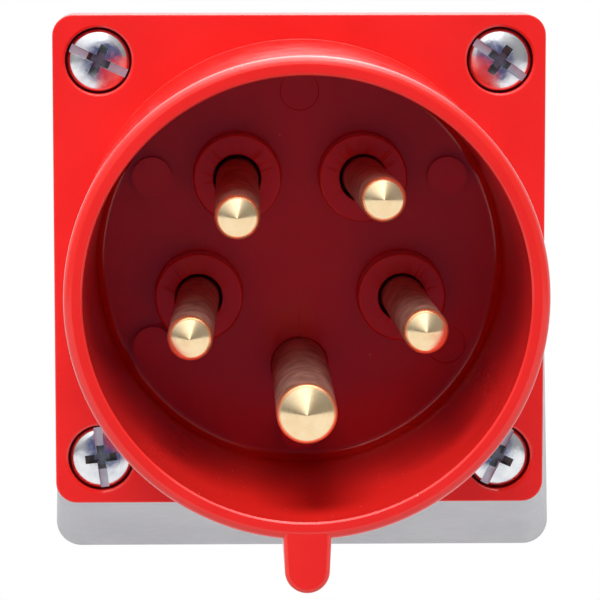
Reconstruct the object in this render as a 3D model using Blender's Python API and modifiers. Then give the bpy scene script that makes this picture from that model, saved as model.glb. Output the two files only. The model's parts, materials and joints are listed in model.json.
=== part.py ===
"""Generator inlet box: a five-pin industrial power inlet on a wedge-shaped wall box.

World frame: the wall is the XZ plane at y = 0, +Z is up and the inlet faces -Y, tipped towards the ground.
Inlet frame: origin on the front face of the flange, on the axis of the collar, with +X to the right,
+Y up the flange and +Z out along the collar.
"""

import math

import bmesh
import bpy
from mathutils import Matrix, Vector

MM = 0.001

# Overall attitude
WEDGE_ANGLE = math.radians(20.0)
SEAT_GAP = 0.3 * MM
OVERCUT = 2.0 * MM

# Flange
FLANGE_LEDGE = 3.5 * MM
FLANGE_THICKNESS = 8.0 * MM
FLANGE_CORNER_RADIUS = 3.0 * MM
FLANGE_EDGE_ROUND = 0.8 * MM

# Collar and cavity
COLLAR_OUTER_RADIUS = 31.5 * MM
COLLAR_RIM_WALL = 2.5 * MM
COLLAR_DRAFT = 0.25 * MM
COLLAR_HEIGHT = 48.0 * MM
COLLAR_BASE_FILLET = 1.5 * MM
RIM_OUTER_ROUND = 0.8 * MM
RIM_INNER_CHAMFER = 0.6 * MM
FLOOR_THICKNESS = 4.0 * MM
FLOOR_FILLET = 0.8 * MM

# Rear skirt that centres the housing in the gasket and holds the contact carrier
SKIRT_OUTER_RADIUS = 30.0 * MM
SKIRT_WALL = 2.5 * MM
SKIRT_LENGTH = 5.0 * MM
SKIRT_GAP = 2.0 * MM

# Key rib at 6 o'clock on the outside of the collar
KEY_WIDTH = 6.2 * MM
KEY_REACH = 6.4 * MM
KEY_LENGTH = 20.0 * MM
KEY_SETBACK = 0.2 * MM

# Pins
PIN_CIRCLE_RADIUS = 15.1 * MM
PHASE_PIN_RADIUS = 3.0 * MM
PHASE_PIN_REACH = 42.4 * MM
PHASE_TIP_CONE = 1.4 * MM
EARTH_PIN_RADIUS = 4.0 * MM
EARTH_PIN_REACH = 47.5 * MM
EARTH_TIP_CONE = 1.9 * MM
TIP_SHOULDER_ROUND = 0.6 * MM
PIN_PLAY = math.radians(3.2)
PIN_RUN_GAP = 0.08 * MM

# Raised bosses round the phase and neutral pins
BOSS_RADIUS = 6.2 * MM
BOSS_HEIGHT = 5.5 * MM
BOSS_EDGE_ROUND = 0.3 * MM

# Terminal end of each pin
SHOULDER_STEP = 2.6 * MM
SHOULDER_THICKNESS = 3.0 * MM
BARREL_STEP = 0.9 * MM
BARREL_END_DEPTH = 30.0 * MM
WIRE_BORE_RADIUS = 2.2 * MM
WIRE_BORE_DEPTH = 15.0 * MM
TERMINAL_SCREW_RADIUS = 1.5 * MM
TERMINAL_HEAD_RADIUS = 2.4 * MM
TERMINAL_HEAD_HEIGHT = 1.8 * MM
TERMINAL_SCREW_PITCH = 6.5 * MM
TERMINAL_SCREW_INSET = 3.6 * MM

# Contact carrier
CARRIER_THICKNESS = 8.0 * MM
CARRIER_POCKET_DEPTH = 4.0 * MM
CARRIER_SCREW_INSET = 6.5 * MM
CARRIER_SCREW_ANGLES = tuple(math.radians(angle) for angle in (90.0, 234.0, 306.0))
CARRIER_BOSS_RADIUS = 3.0 * MM
CARRIER_SCREW_RADIUS = 1.4 * MM
CARRIER_HEAD_RADIUS = 2.8 * MM
CARRIER_HEAD_HEIGHT = 2.0 * MM
CARRIER_SCREW_BITE = 5.5 * MM

# Cover screws, their sealing rings and inserts
SCREW_INSET = 6.5 * MM
SCREW_SHANK_RADIUS = 2.0 * MM
SCREW_HEAD_RADIUS = 4.2 * MM
SCREW_HEAD_HEIGHT = 2.6 * MM
SCREW_HEAD_CROWN = 0.8 * MM
SCREW_SLOT_WIDTH = 1.1 * MM
SCREW_SLOT_DEPTH = 1.2 * MM
SCREW_HOLE_GAP = 0.4 * MM
RECESS_RADIUS = 5.0 * MM
SEAL_THICKNESS = 1.2 * MM
INSERT_OUTER_RADIUS = 3.0 * MM
INSERT_LENGTH = 4.0 * MM
SCREW_TIP_PAST_INSERT = 0.6 * MM

# Gasket
GASKET_THICKNESS = 1.5 * MM
GASKET_INSET = 0.3 * MM
GASKET_INNER_CORNER = 20.0 * MM

# Wall box
BOX_DEPTH_BOTTOM = 42.0 * MM
BOX_DRAFT = math.radians(2.0)
BOX_FLARE_LEFT = 2.5 * MM
BOX_FLARE_RIGHT = 5.5 * MM
BOX_WALL = 2.6 * MM
BOX_BACK_WALL = 3.0 * MM
BOX_CORNER_RADIUS = 4.0 * MM
POST_RADIUS = 4.8 * MM
PILOT_DEPTH = 12.0 * MM
WALL_SLOT_WIDTH = 5.0 * MM
WALL_SLOT_LENGTH = 9.0 * MM
WALL_SLOT_SPACING_X = 40.0 * MM
WALL_SLOT_SPACING_Z = 46.0 * MM

# Cable entry
CABLE_HOLE_RADIUS = 12.5 * MM
CABLE_HOLE_SETBACK = 34.0 * MM
GROMMET_LIP = 2.5 * MM
GROMMET_LIP_THICKNESS = 1.8 * MM
GROMMET_DOME_HEIGHT = 5.0 * MM
GROMMET_TOP_RADIUS = 7.0 * MM
GROMMET_MEMBRANE = 1.2 * MM

# Facets round a full turn
COLLAR_STEPS = 48
CARRIER_STEPS = 32
PIN_STEPS = 16
HOLE_STEPS = 20
SCREW_STEPS = 16
SMALL_STEPS = 8

# Heights along the inlet axis that several pieces share
FLOOR_REAR = -FLOOR_THICKNESS
FLANGE_REAR = -FLANGE_THICKNESS
GASKET_FRONT = FLANGE_REAR - SEAT_GAP
GASKET_REAR = GASKET_FRONT - GASKET_THICKNESS
BOX_FRONT = GASKET_REAR - SEAT_GAP
RECESS_FLOOR = -(SCREW_HEAD_HEIGHT + SEAL_THICKNESS + 2.0 * SEAT_GAP)
SEAL_FRONT = RECESS_FLOOR + SEAT_GAP + SEAL_THICKNESS
SCREW_SEAT = SEAL_FRONT + SEAT_GAP
INSERT_FRONT = BOX_FRONT - SEAT_GAP
SCREW_TIP = INSERT_FRONT - INSERT_LENGTH - SCREW_TIP_PAST_INSERT
CARRIER_FRONT = FLOOR_REAR - SEAT_GAP
CARRIER_REAR = CARRIER_FRONT - CARRIER_THICKNESS
POCKET_END = CARRIER_FRONT - CARRIER_POCKET_DEPTH
SHOULDER_FRONT = 0.5 * (FLOOR_REAR + POCKET_END + SHOULDER_THICKNESS)
SHOULDER_REAR = SHOULDER_FRONT - SHOULDER_THICKNESS
PIN_PIVOT = 0.5 * (BOSS_HEIGHT + FLOOR_REAR)
GUIDE_HALF_LENGTH = 0.5 * (BOSS_HEIGHT - FLOOR_REAR)

# The flange leaves a ledge round the collar and covers the mouth of the box, which clears the skirt
HALF_SIDE = max(COLLAR_OUTER_RADIUS + FLANGE_LEDGE, SKIRT_OUTER_RADIUS + SKIRT_GAP + BOX_WALL)
FLANGE_SIDE = 2.0 * HALF_SIDE
SCREW_PITCH = FLANGE_SIDE - 2.0 * SCREW_INSET

# Radii that several pieces share
COLLAR_INNER_RADIUS = COLLAR_OUTER_RADIUS - COLLAR_RIM_WALL
FLOOR_RADIUS = COLLAR_INNER_RADIUS - COLLAR_DRAFT
SKIRT_INNER_RADIUS = SKIRT_OUTER_RADIUS - SKIRT_WALL
CARRIER_SCREW_CIRCLE = SKIRT_INNER_RADIUS - CARRIER_SCREW_INSET
PLAY_SLOPE = math.tan(PIN_PLAY)
PHASE_HOLE_RADIUS = PHASE_PIN_RADIUS / math.cos(PIN_PLAY) + GUIDE_HALF_LENGTH * PLAY_SLOPE + PIN_RUN_GAP
EARTH_HOLE_RADIUS = EARTH_PIN_RADIUS + SEAT_GAP
SCREW_HOLE_RADIUS = SCREW_SHANK_RADIUS + SCREW_HOLE_GAP
INSERT_POCKET_RADIUS = INSERT_OUTER_RADIUS + SEAT_GAP

# Where each pin stands, as an angle round the inlet axis, and how it leans at rest
PHASE_PINS = {
    "upper_left": {"at": 126.0, "lean_towards": 267.0, "lean": 3.0},
    "upper_right": {"at": 54.0, "lean_towards": 10.0, "lean": 1.8},
    "left": {"at": 198.0, "lean_towards": 232.0, "lean": 2.0},
    "right": {"at": 342.0, "lean_towards": 348.0, "lean": 2.0},
}
EARTH_PIN_ANGLE = math.radians(270.0)

# The four corners of the flange: side in X, side in Y and how far the screw was turned home
CORNERS = {
    "top_left": (-1, 1, -25.0),
    "top_right": (1, 1, -36.0),
    "bottom_left": (-1, -1, -83.0),
    "bottom_right": (1, -1, -115.0),
}

# Flange centre in the world, found from the wall box behind it
SINE = math.sin(WEDGE_ANGLE)
COSINE = math.cos(WEDGE_ANGLE)
FLANGE_Y = -(BOX_DEPTH_BOTTOM + HALF_SIDE * SINE - BOX_FRONT * COSINE)
TOP_DEPTH = BOX_DEPTH_BOTTOM + FLANGE_SIDE * SINE
TOP_RISE = HALF_SIDE * COSINE - BOX_FRONT * SINE + TOP_DEPTH * math.tan(BOX_DRAFT)
BOTTOM_DROP = HALF_SIDE * COSINE + BOX_FRONT * SINE + BOX_DEPTH_BOTTOM * math.tan(BOX_DRAFT)
FLANGE_Z = 0.5 * (BOTTOM_DROP - TOP_RISE)
INLET_MATRIX = Matrix.Translation((0.0, FLANGE_Y, FLANGE_Z)) @ Matrix.Rotation(
    0.5 * math.pi + WEDGE_ANGLE, 4, "X"
)


def clear_scene():
    for obj in list(bpy.data.objects):
        bpy.data.objects.remove(obj, do_unlink=True)


def new_collection(name):
    collection = bpy.data.collections.new(name)
    bpy.context.scene.collection.children.link(collection)
    return collection


def material(name, colour, roughness, metallic=0.0):
    result = bpy.data.materials.new(name)
    result.use_nodes = True
    shader = result.node_tree.nodes["Principled BSDF"]
    shader.inputs["Base Color"].default_value = (*colour, 1.0)
    shader.inputs["Roughness"].default_value = roughness
    shader.inputs["Metallic"].default_value = metallic
    return result


clear_scene()
PARTS = new_collection("generator_inlet_box")
CUTTERS = new_collection("cutters")

RED_PLASTIC = material("red_plastic", (0.72, 0.02, 0.02), 0.3)
GREY_PLASTIC = material("grey_plastic", (0.55, 0.55, 0.58), 0.45)
BLACK_RUBBER = material("black_rubber", (0.02, 0.02, 0.02), 0.8)
DARK_PLASTIC = material("dark_plastic", (0.05, 0.05, 0.055), 0.5)
BRASS = material("brass", (0.78, 0.55, 0.24), 0.25, 1.0)
ZINC = material("zinc", (0.75, 0.76, 0.78), 0.22, 1.0)

INLET = bpy.data.objects.new("inlet_axis", None)
PARTS.objects.link(INLET)
INLET.matrix_world = INLET_MATRIX


def add_object(name, mesh, matrix=None, parent=None, cutter=False, look=None):
    """Link a mesh as one sub-part, or as a hidden cutter, with its matrix inside its parent."""
    obj = bpy.data.objects.new(name, mesh)
    (CUTTERS if cutter else PARTS).objects.link(obj)
    obj.parent = parent
    obj.matrix_local = matrix or Matrix.Identity(4)
    if look:
        mesh.materials.append(look)
    if cutter:
        obj.hide_render = True
        obj.display_type = "WIRE"
    return obj


def turned(name, profile, steps, closed=False, **placing):
    """Revolve a profile of (radius, height) points, given down its outer side, about local Z."""
    mesh = bpy.data.meshes.new(name)
    points = [(radius, 0.0, height) for radius, height in profile]
    edges = [(index, index + 1) for index in range(len(points) - 1)]
    if closed:
        edges.append((len(points) - 1, 0))
    mesh.from_pydata(points, edges, [])
    obj = add_object(name, mesh, **placing)
    turn = obj.modifiers.new("Turn", "SCREW")
    turn.axis = "Z"
    turn.angle = 2.0 * math.pi
    turn.steps = steps
    turn.render_steps = steps
    turn.use_merge_vertices = True
    turn.merge_threshold = 0.000001
    turn.use_smooth_shade = True
    flatten = obj.modifiers.new("Flat faces", "DECIMATE")
    flatten.decimate_type = "DISSOLVE"
    flatten.angle_limit = math.radians(0.1)
    return obj


def plug(radius, low, high):
    """Profile of a plain cylinder."""
    return [(0.0, high), (radius, high), (radius, low), (0.0, low)]


def rounded(corner, radius, start, end, segments=3):
    """Points of an arc about a centre, from one angle to another in degrees."""
    points = []
    for index in range(segments + 1):
        angle = math.radians(start + (end - start) * index / segments)
        points.append((corner[0] + radius * math.cos(angle), corner[1] + radius * math.sin(angle)))
    return points


def block(name, size, centre, round_edges=None, radius=0.0, segments=4, **placing):
    """A box whose chosen edges are rounded; round_edges(first, second) picks them by their ends."""
    shape = bmesh.new()
    bmesh.ops.create_cube(shape, size=1.0)
    bmesh.ops.scale(shape, vec=size, verts=shape.verts)
    bmesh.ops.translate(shape, vec=centre, verts=shape.verts)
    if round_edges:
        chosen = [edge for edge in shape.edges if round_edges(edge.verts[0].co, edge.verts[1].co)]
        bmesh.ops.bevel(
            shape, geom=chosen, offset=radius, offset_type="OFFSET", segments=segments, profile=0.5, affect="EDGES"
        )
    mesh = bpy.data.meshes.new(name)
    shape.to_mesh(mesh)
    shape.free()
    return add_object(name, mesh, **placing)


def runs_along(axis):
    """Picks the edges of a box that run along one axis."""
    return lambda first, second: abs(first[axis] - second[axis]) > MM


def pattern(name, source, places, **placing):
    """One object made of a copy of the source at each place; the source is used up."""
    bpy.context.view_layer.update()
    depsgraph = bpy.context.evaluated_depsgraph_get()
    mesh = bpy.data.meshes.new_from_object(source.evaluated_get(depsgraph), depsgraph=depsgraph)
    shape = bmesh.new()
    for place in places:
        start = len(shape.verts)
        shape.from_mesh(mesh)
        bmesh.ops.transform(shape, matrix=place, verts=list(shape.verts)[start:])
    result = bpy.data.meshes.new(name)
    shape.to_mesh(result)
    shape.free()
    bpy.data.meshes.remove(mesh)
    bpy.data.objects.remove(source, do_unlink=True)
    return add_object(name, result, **placing)


def combine(target, tool, operation):
    step = target.modifiers.new(tool.name, "BOOLEAN")
    step.operation = operation
    step.object = tool
    step.solver = "EXACT"


def ring_places(angles, radius):
    """Places on a circle round the inlet axis."""
    return [Matrix.Translation((radius * math.cos(a), radius * math.sin(a), 0.0)) for a in angles]


def corner_places(height=0.0):
    """Places on the screw square."""
    half = 0.5 * SCREW_PITCH
    return [Matrix.Translation((half * x, half * y, height)) for x, y, _ in CORNERS.values()]


PHASE_ANGLES = [math.radians(pin["at"]) for pin in PHASE_PINS.values()]


# Front housing: flange, collar, floor, bosses and key in one moulding

def flange_plate():
    """Square plate with rounded corners and front edges, open in the middle for the collar."""
    shape = bmesh.new()
    bmesh.ops.create_cube(shape, size=1.0)
    bmesh.ops.scale(shape, vec=(FLANGE_SIDE, FLANGE_SIDE, FLANGE_THICKNESS), verts=shape.verts)
    bmesh.ops.translate(shape, vec=(0.0, 0.0, 0.5 * FLANGE_REAR), verts=shape.verts)
    corners = [edge for edge in shape.edges if abs(edge.verts[0].co.z - edge.verts[1].co.z) > MM]
    bmesh.ops.bevel(
        shape, geom=corners, offset=FLANGE_CORNER_RADIUS, offset_type="OFFSET", segments=4, profile=0.5,
        affect="EDGES",
    )
    front = [edge for edge in shape.edges if all(abs(vert.co.z) < 0.001 * MM for vert in edge.verts)]
    bmesh.ops.bevel(
        shape, geom=front, offset=FLANGE_EDGE_ROUND, offset_type="OFFSET", segments=2, profile=0.5, affect="EDGES"
    )
    mesh = bpy.data.meshes.new("front_housing")
    shape.to_mesh(mesh)
    shape.free()
    return add_object("front_housing", mesh, parent=INLET, look=RED_PLASTIC)


def collar_profile():
    """Down from the floor's middle, up the inner wall, over the rim, down the outside and back to the axis."""
    base_radius = COLLAR_OUTER_RADIUS + COLLAR_BASE_FILLET
    sink = 0.05 * MM
    profile = [(0.0, 0.0)]
    profile += rounded((FLOOR_RADIUS - FLOOR_FILLET, FLOOR_FILLET), FLOOR_FILLET, 270, 360)
    profile += [
        (COLLAR_INNER_RADIUS, COLLAR_HEIGHT - RIM_INNER_CHAMFER),
        (COLLAR_INNER_RADIUS + RIM_INNER_CHAMFER, COLLAR_HEIGHT),
    ]
    profile += rounded(
        (COLLAR_OUTER_RADIUS - RIM_OUTER_ROUND, COLLAR_HEIGHT - RIM_OUTER_ROUND), RIM_OUTER_ROUND, 90, 0
    )
    profile += rounded((base_radius, COLLAR_BASE_FILLET - sink), COLLAR_BASE_FILLET, 180, 270)
    profile += [
        (base_radius, 0.75 * FLANGE_REAR),
        (SKIRT_OUTER_RADIUS, 0.75 * FLANGE_REAR),
        (SKIRT_OUTER_RADIUS, FLANGE_REAR - SKIRT_LENGTH),
        (SKIRT_INNER_RADIUS, FLANGE_REAR - SKIRT_LENGTH),
        (SKIRT_INNER_RADIUS, FLOOR_REAR),
        (0.0, FLOOR_REAR),
    ]
    return profile


def boss_profile():
    root = -0.5 * FLOOR_THICKNESS
    profile = [(0.0, BOSS_HEIGHT)]
    profile += rounded((BOSS_RADIUS - BOSS_EDGE_ROUND, BOSS_HEIGHT - BOSS_EDGE_ROUND), BOSS_EDGE_ROUND, 90, 0, 1)
    return profile + [(BOSS_RADIUS, root), (0.0, root)]


def build_front_housing():
    housing = flange_plate()
    inlet = {"parent": INLET, "cutter": True}

    opening_radius = 0.5 * (COLLAR_INNER_RADIUS + SKIRT_OUTER_RADIUS)
    opening = turned(
        "flange_opening", plug(opening_radius, FLANGE_REAR - OVERCUT, OVERCUT), COLLAR_STEPS, **inlet
    )
    combine(housing, opening, "DIFFERENCE")
    collar = turned("collar", collar_profile(), COLLAR_STEPS, **inlet)
    combine(housing, collar, "UNION")

    boss = turned("boss", boss_profile(), HOLE_STEPS, cutter=True)
    bosses = pattern("pin_bosses", boss, ring_places(PHASE_ANGLES, PIN_CIRCLE_RADIUS), **inlet)
    combine(housing, bosses, "UNION")

    key_root = COLLAR_OUTER_RADIUS - 0.5 * COLLAR_RIM_WALL
    key_end = COLLAR_OUTER_RADIUS + KEY_REACH
    key_front = COLLAR_HEIGHT - KEY_SETBACK
    key = block(
        "key_rib",
        (KEY_WIDTH, key_end - key_root, KEY_LENGTH),
        (0.0, -0.5 * (key_root + key_end), key_front - 0.5 * KEY_LENGTH),
        round_edges=lambda first, second: runs_along(2)(first, second) and first.y < -0.5 * (key_root + key_end),
        radius=0.49 * KEY_WIDTH,
        **inlet,
    )
    combine(housing, key, "UNION")

    carrier_boss_end = POCKET_END + SEAT_GAP
    rear_boss = turned(
        "rear_boss",
        plug(CARRIER_BOSS_RADIUS, carrier_boss_end, 0.5 * FLOOR_REAR),
        SMALL_STEPS,
        cutter=True,
    )
    rear_bosses = pattern("rear_bosses", rear_boss, ring_places(CARRIER_SCREW_ANGLES, CARRIER_SCREW_CIRCLE), **inlet)
    combine(housing, rear_bosses, "UNION")

    pilot_radius = CARRIER_SCREW_RADIUS + SEAT_GAP
    pilot_end = carrier_boss_end + CARRIER_SCREW_BITE + SEAT_GAP
    pilot = turned("pilot", plug(pilot_radius, carrier_boss_end - OVERCUT, pilot_end), SMALL_STEPS, cutter=True)
    pilots = pattern("carrier_pilots", pilot, ring_places(CARRIER_SCREW_ANGLES, CARRIER_SCREW_CIRCLE), **inlet)
    combine(housing, pilots, "DIFFERENCE")

    low, high = FLOOR_REAR - OVERCUT, BOSS_HEIGHT + OVERCUT
    phase_hole = turned("phase_hole", plug(PHASE_HOLE_RADIUS, low, high), HOLE_STEPS, cutter=True)
    phase_holes = pattern("phase_holes", phase_hole, ring_places(PHASE_ANGLES, PIN_CIRCLE_RADIUS), **inlet)
    combine(housing, phase_holes, "DIFFERENCE")
    earth_hole = turned("earth_hole", plug(EARTH_HOLE_RADIUS, low, high), HOLE_STEPS, cutter=True)
    earth_place = ring_places([EARTH_PIN_ANGLE], PIN_CIRCLE_RADIUS)
    combine(housing, pattern("earth_holes", earth_hole, earth_place, **inlet), "DIFFERENCE")

    stepped = [
        (0.0, OVERCUT),
        (RECESS_RADIUS, OVERCUT),
        (RECESS_RADIUS, RECESS_FLOOR),
        (SCREW_HOLE_RADIUS, RECESS_FLOOR),
        (SCREW_HOLE_RADIUS, FLANGE_REAR - OVERCUT),
        (0.0, FLANGE_REAR - OVERCUT),
    ]
    recess = turned("screw_recess", stepped, HOLE_STEPS, cutter=True)
    combine(housing, pattern("screw_recesses", recess, corner_places(), **inlet), "DIFFERENCE")


# Contact carrier and its screws

def shoulder_radius(pin_radius):
    return pin_radius + SHOULDER_STEP


def barrel_radius(pin_radius):
    return pin_radius + BARREL_STEP


def pocket_profile(pin_radius, play):
    """Stepped bore of the carrier round one pin, wide enough for the pin to tip by its play."""
    pocket = shoulder_radius(pin_radius) / math.cos(play) + (PIN_PIVOT - POCKET_END) * math.tan(play) + SEAT_GAP
    bore = barrel_radius(pin_radius) / math.cos(play) + (PIN_PIVOT - CARRIER_REAR) * math.tan(play) + SEAT_GAP
    return [
        (0.0, CARRIER_FRONT + OVERCUT),
        (pocket, CARRIER_FRONT + OVERCUT),
        (pocket, POCKET_END),
        (bore, POCKET_END),
        (bore, CARRIER_REAR - OVERCUT),
        (0.0, CARRIER_REAR - OVERCUT),
    ]


def build_contact_carrier():
    carrier = turned(
        "contact_carrier",
        plug(SKIRT_INNER_RADIUS - SEAT_GAP, CARRIER_REAR, CARRIER_FRONT),
        CARRIER_STEPS,
        parent=INLET,
        look=DARK_PLASTIC,
    )
    inlet = {"parent": INLET, "cutter": True}
    phase = turned("phase_pocket", pocket_profile(PHASE_PIN_RADIUS, PIN_PLAY), PIN_STEPS, cutter=True)
    phase_pockets = pattern("phase_pockets", phase, ring_places(PHASE_ANGLES, PIN_CIRCLE_RADIUS), **inlet)
    combine(carrier, phase_pockets, "DIFFERENCE")
    earth = turned("earth_pocket", pocket_profile(EARTH_PIN_RADIUS, 0.0), PIN_STEPS, cutter=True)
    earth_pockets = pattern("earth_pockets", earth, ring_places([EARTH_PIN_ANGLE], PIN_CIRCLE_RADIUS), **inlet)
    combine(carrier, earth_pockets, "DIFFERENCE")

    boss_bore = [
        (0.0, CARRIER_FRONT + OVERCUT),
        (CARRIER_BOSS_RADIUS + SEAT_GAP, CARRIER_FRONT + OVERCUT),
        (CARRIER_BOSS_RADIUS + SEAT_GAP, POCKET_END),
        (CARRIER_SCREW_RADIUS + SEAT_GAP, POCKET_END),
        (CARRIER_SCREW_RADIUS + SEAT_GAP, CARRIER_REAR - OVERCUT),
        (0.0, CARRIER_REAR - OVERCUT),
    ]
    bore = turned("boss_bore", boss_bore, SMALL_STEPS, cutter=True)
    bores = pattern("boss_bores", bore, ring_places(CARRIER_SCREW_ANGLES, CARRIER_SCREW_CIRCLE), **inlet)
    combine(carrier, bores, "DIFFERENCE")

    head_front = CARRIER_REAR - SEAT_GAP
    profile = [
        (0.0, POCKET_END + SEAT_GAP + CARRIER_SCREW_BITE),
        (0.4 * CARRIER_SCREW_RADIUS, POCKET_END + SEAT_GAP + CARRIER_SCREW_BITE),
        (CARRIER_SCREW_RADIUS, POCKET_END + CARRIER_SCREW_BITE - CARRIER_SCREW_RADIUS),
        (CARRIER_SCREW_RADIUS, head_front),
        (CARRIER_HEAD_RADIUS, head_front),
        (CARRIER_HEAD_RADIUS, head_front - 0.6 * CARRIER_HEAD_HEIGHT),
        (0.7 * CARRIER_HEAD_RADIUS, head_front - CARRIER_HEAD_HEIGHT),
        (0.0, head_front - CARRIER_HEAD_HEIGHT),
    ]
    for number, place in enumerate(ring_places(CARRIER_SCREW_ANGLES, CARRIER_SCREW_CIRCLE), start=1):
        turned(f"carrier_screw_{number}", profile, SMALL_STEPS, parent=INLET, matrix=place, look=ZINC)


# Pins and their clamp screws, each built about the middle of its guide hole

def pin_profile(radius, reach, cone):
    tip = reach - PIN_PIVOT
    shoulder = shoulder_radius(radius)
    barrel = barrel_radius(radius)
    rear = -BARREL_END_DEPTH - PIN_PIVOT
    bore_end = rear + WIRE_BORE_DEPTH
    edge = (radius - TIP_SHOULDER_ROUND, tip - cone - TIP_SHOULDER_ROUND)
    cone_normal = math.degrees(math.atan2(radius - TIP_SHOULDER_ROUND, cone))
    profile = [(0.0, tip)]
    profile += rounded(edge, TIP_SHOULDER_ROUND, cone_normal, 0, 2)
    profile += [
        (radius, SHOULDER_FRONT - PIN_PIVOT),
        (shoulder, SHOULDER_FRONT - PIN_PIVOT),
        (shoulder, SHOULDER_REAR - PIN_PIVOT),
        (barrel, SHOULDER_REAR - PIN_PIVOT),
        (barrel, rear),
        (WIRE_BORE_RADIUS, rear),
        (WIRE_BORE_RADIUS, bore_end),
        (0.0, bore_end + 0.5 * WIRE_BORE_RADIUS),
    ]
    return profile


def clamp_screw_places():
    """Two screws side by side, with their axes along local +X of the pin."""
    rear = -BARREL_END_DEPTH - PIN_PIVOT
    sideways = Matrix.Rotation(0.5 * math.pi, 4, "Y")
    heights = [rear + TERMINAL_SCREW_INSET + TERMINAL_SCREW_PITCH * index for index in range(2)]
    return [Matrix.Translation((0.0, 0.0, height)) @ sideways for height in heights]


def clamp_screw_profile(barrel):
    seat = barrel + SEAT_GAP
    top = seat + TERMINAL_HEAD_HEIGHT
    return [
        (0.0, top),
        (0.75 * TERMINAL_HEAD_RADIUS, top),
        (TERMINAL_HEAD_RADIUS, top - 0.4 * TERMINAL_HEAD_HEIGHT),
        (TERMINAL_HEAD_RADIUS, seat),
        (TERMINAL_SCREW_RADIUS, seat),
        (TERMINAL_SCREW_RADIUS, 0.5 * TERMINAL_SCREW_RADIUS),
        (0.5 * TERMINAL_SCREW_RADIUS, 0.0),
        (0.0, 0.0),
    ]


def build_pin(name, angle, radius, reach, cone, lean=None):
    stand = Matrix.Translation(
        (PIN_CIRCLE_RADIUS * math.cos(angle), PIN_CIRCLE_RADIUS * math.sin(angle), PIN_PIVOT)
    )
    place = stand @ (lean or Matrix.Identity(4)) @ Matrix.Rotation(angle, 4, "Z")
    pin = turned(
        f"pin_{name}", pin_profile(radius, reach, cone), PIN_STEPS, parent=INLET, matrix=place, look=BRASS
    )
    barrel = barrel_radius(radius)
    hole = turned("clamp_hole", plug(TERMINAL_SCREW_RADIUS + SEAT_GAP, 0.0, 2.0 * barrel), SMALL_STEPS, cutter=True)
    holes = pattern(f"clamp_holes_{name}", hole, clamp_screw_places(), parent=pin, cutter=True)
    combine(pin, holes, "DIFFERENCE")
    for number, place in enumerate(clamp_screw_places(), start=1):
        turned(
            f"clamp_screw_{name}_{number}", clamp_screw_profile(barrel), SMALL_STEPS,
            parent=pin, matrix=place, look=ZINC,
        )


def build_pins():
    for name, pin in PHASE_PINS.items():
        towards = math.radians(pin["lean_towards"])
        hinge = Vector((-math.sin(towards), math.cos(towards), 0.0))
        lean = Matrix.Rotation(math.radians(pin["lean"]), 4, hinge)
        build_pin(name, math.radians(pin["at"]), PHASE_PIN_RADIUS, PHASE_PIN_REACH, PHASE_TIP_CONE, lean)
    build_pin("earth", EARTH_PIN_ANGLE, EARTH_PIN_RADIUS, EARTH_PIN_REACH, EARTH_TIP_CONE)


# Cover screws with their sealing rings, and the inserts that they screw into

def screw_profile():
    """Pan head above the seat at height 0, shank and tip below it."""
    tip = SCREW_TIP - SCREW_SEAT
    return [
        (0.0, SCREW_HEAD_HEIGHT),
        (0.55 * SCREW_HEAD_RADIUS, SCREW_HEAD_HEIGHT - 0.15 * SCREW_HEAD_CROWN),
        (0.85 * SCREW_HEAD_RADIUS, SCREW_HEAD_HEIGHT - 0.5 * SCREW_HEAD_CROWN),
        (SCREW_HEAD_RADIUS, SCREW_HEAD_HEIGHT - 1.4 * SCREW_HEAD_CROWN),
        (SCREW_HEAD_RADIUS, 0.0),
        (SCREW_SHANK_RADIUS, 0.0),
        (SCREW_SHANK_RADIUS, tip + 0.4 * SCREW_SHANK_RADIUS),
        (0.6 * SCREW_SHANK_RADIUS, tip),
        (0.0, tip),
    ]


def seal_profile():
    """Flat ring that grips the shank under the head."""
    inner = SCREW_SHANK_RADIUS + SEAT_GAP
    outer = RECESS_RADIUS - 2.0 * SEAT_GAP
    front = SEAL_FRONT - SCREW_SEAT
    middle = front - 0.5 * SEAL_THICKNESS
    return [
        (inner, front),
        (outer - 0.25 * SEAL_THICKNESS, front),
        (outer, middle),
        (outer - 0.25 * SEAL_THICKNESS, front - SEAL_THICKNESS),
        (inner, front - SEAL_THICKNESS),
    ]


def build_cover_screws():
    half = 0.5 * SCREW_PITCH
    slot_length = 2.0 * SCREW_HEAD_RADIUS + OVERCUT
    for name, (side_x, side_y, turn) in CORNERS.items():
        place = Matrix.Translation((half * side_x, half * side_y, SCREW_SEAT))
        turned(
            f"screw_seal_{name}", seal_profile(), SCREW_STEPS, closed=True,
            parent=INLET, matrix=place, look=BLACK_RUBBER,
        )
        screw = turned(
            f"cover_screw_{name}", screw_profile(), SCREW_STEPS,
            parent=INLET, matrix=place @ Matrix.Rotation(math.radians(turn), 4, "Z"), look=ZINC,
        )
        slot_centre = SCREW_HEAD_HEIGHT - SCREW_SLOT_DEPTH + 0.5 * OVERCUT
        slot = block(
            f"driver_slot_{name}",
            (slot_length, SCREW_SLOT_WIDTH, OVERCUT),
            (0.0, 0.0, slot_centre),
            parent=screw,
            cutter=True,
        )
        combine(screw, slot, "DIFFERENCE")


def build_thread_inserts():
    bore = SCREW_SHANK_RADIUS + SEAT_GAP
    sleeve = [
        (bore, 0.0),
        (INSERT_OUTER_RADIUS, 0.0),
        (INSERT_OUTER_RADIUS, -INSERT_LENGTH),
        (bore, -INSERT_LENGTH),
    ]
    for name, place in zip(CORNERS, corner_places(INSERT_FRONT)):
        turned(
            f"thread_insert_{name}", sleeve, SCREW_STEPS, closed=True,
            parent=INLET, matrix=place, look=BRASS,
        )


# Gasket between flange and wall box

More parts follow.
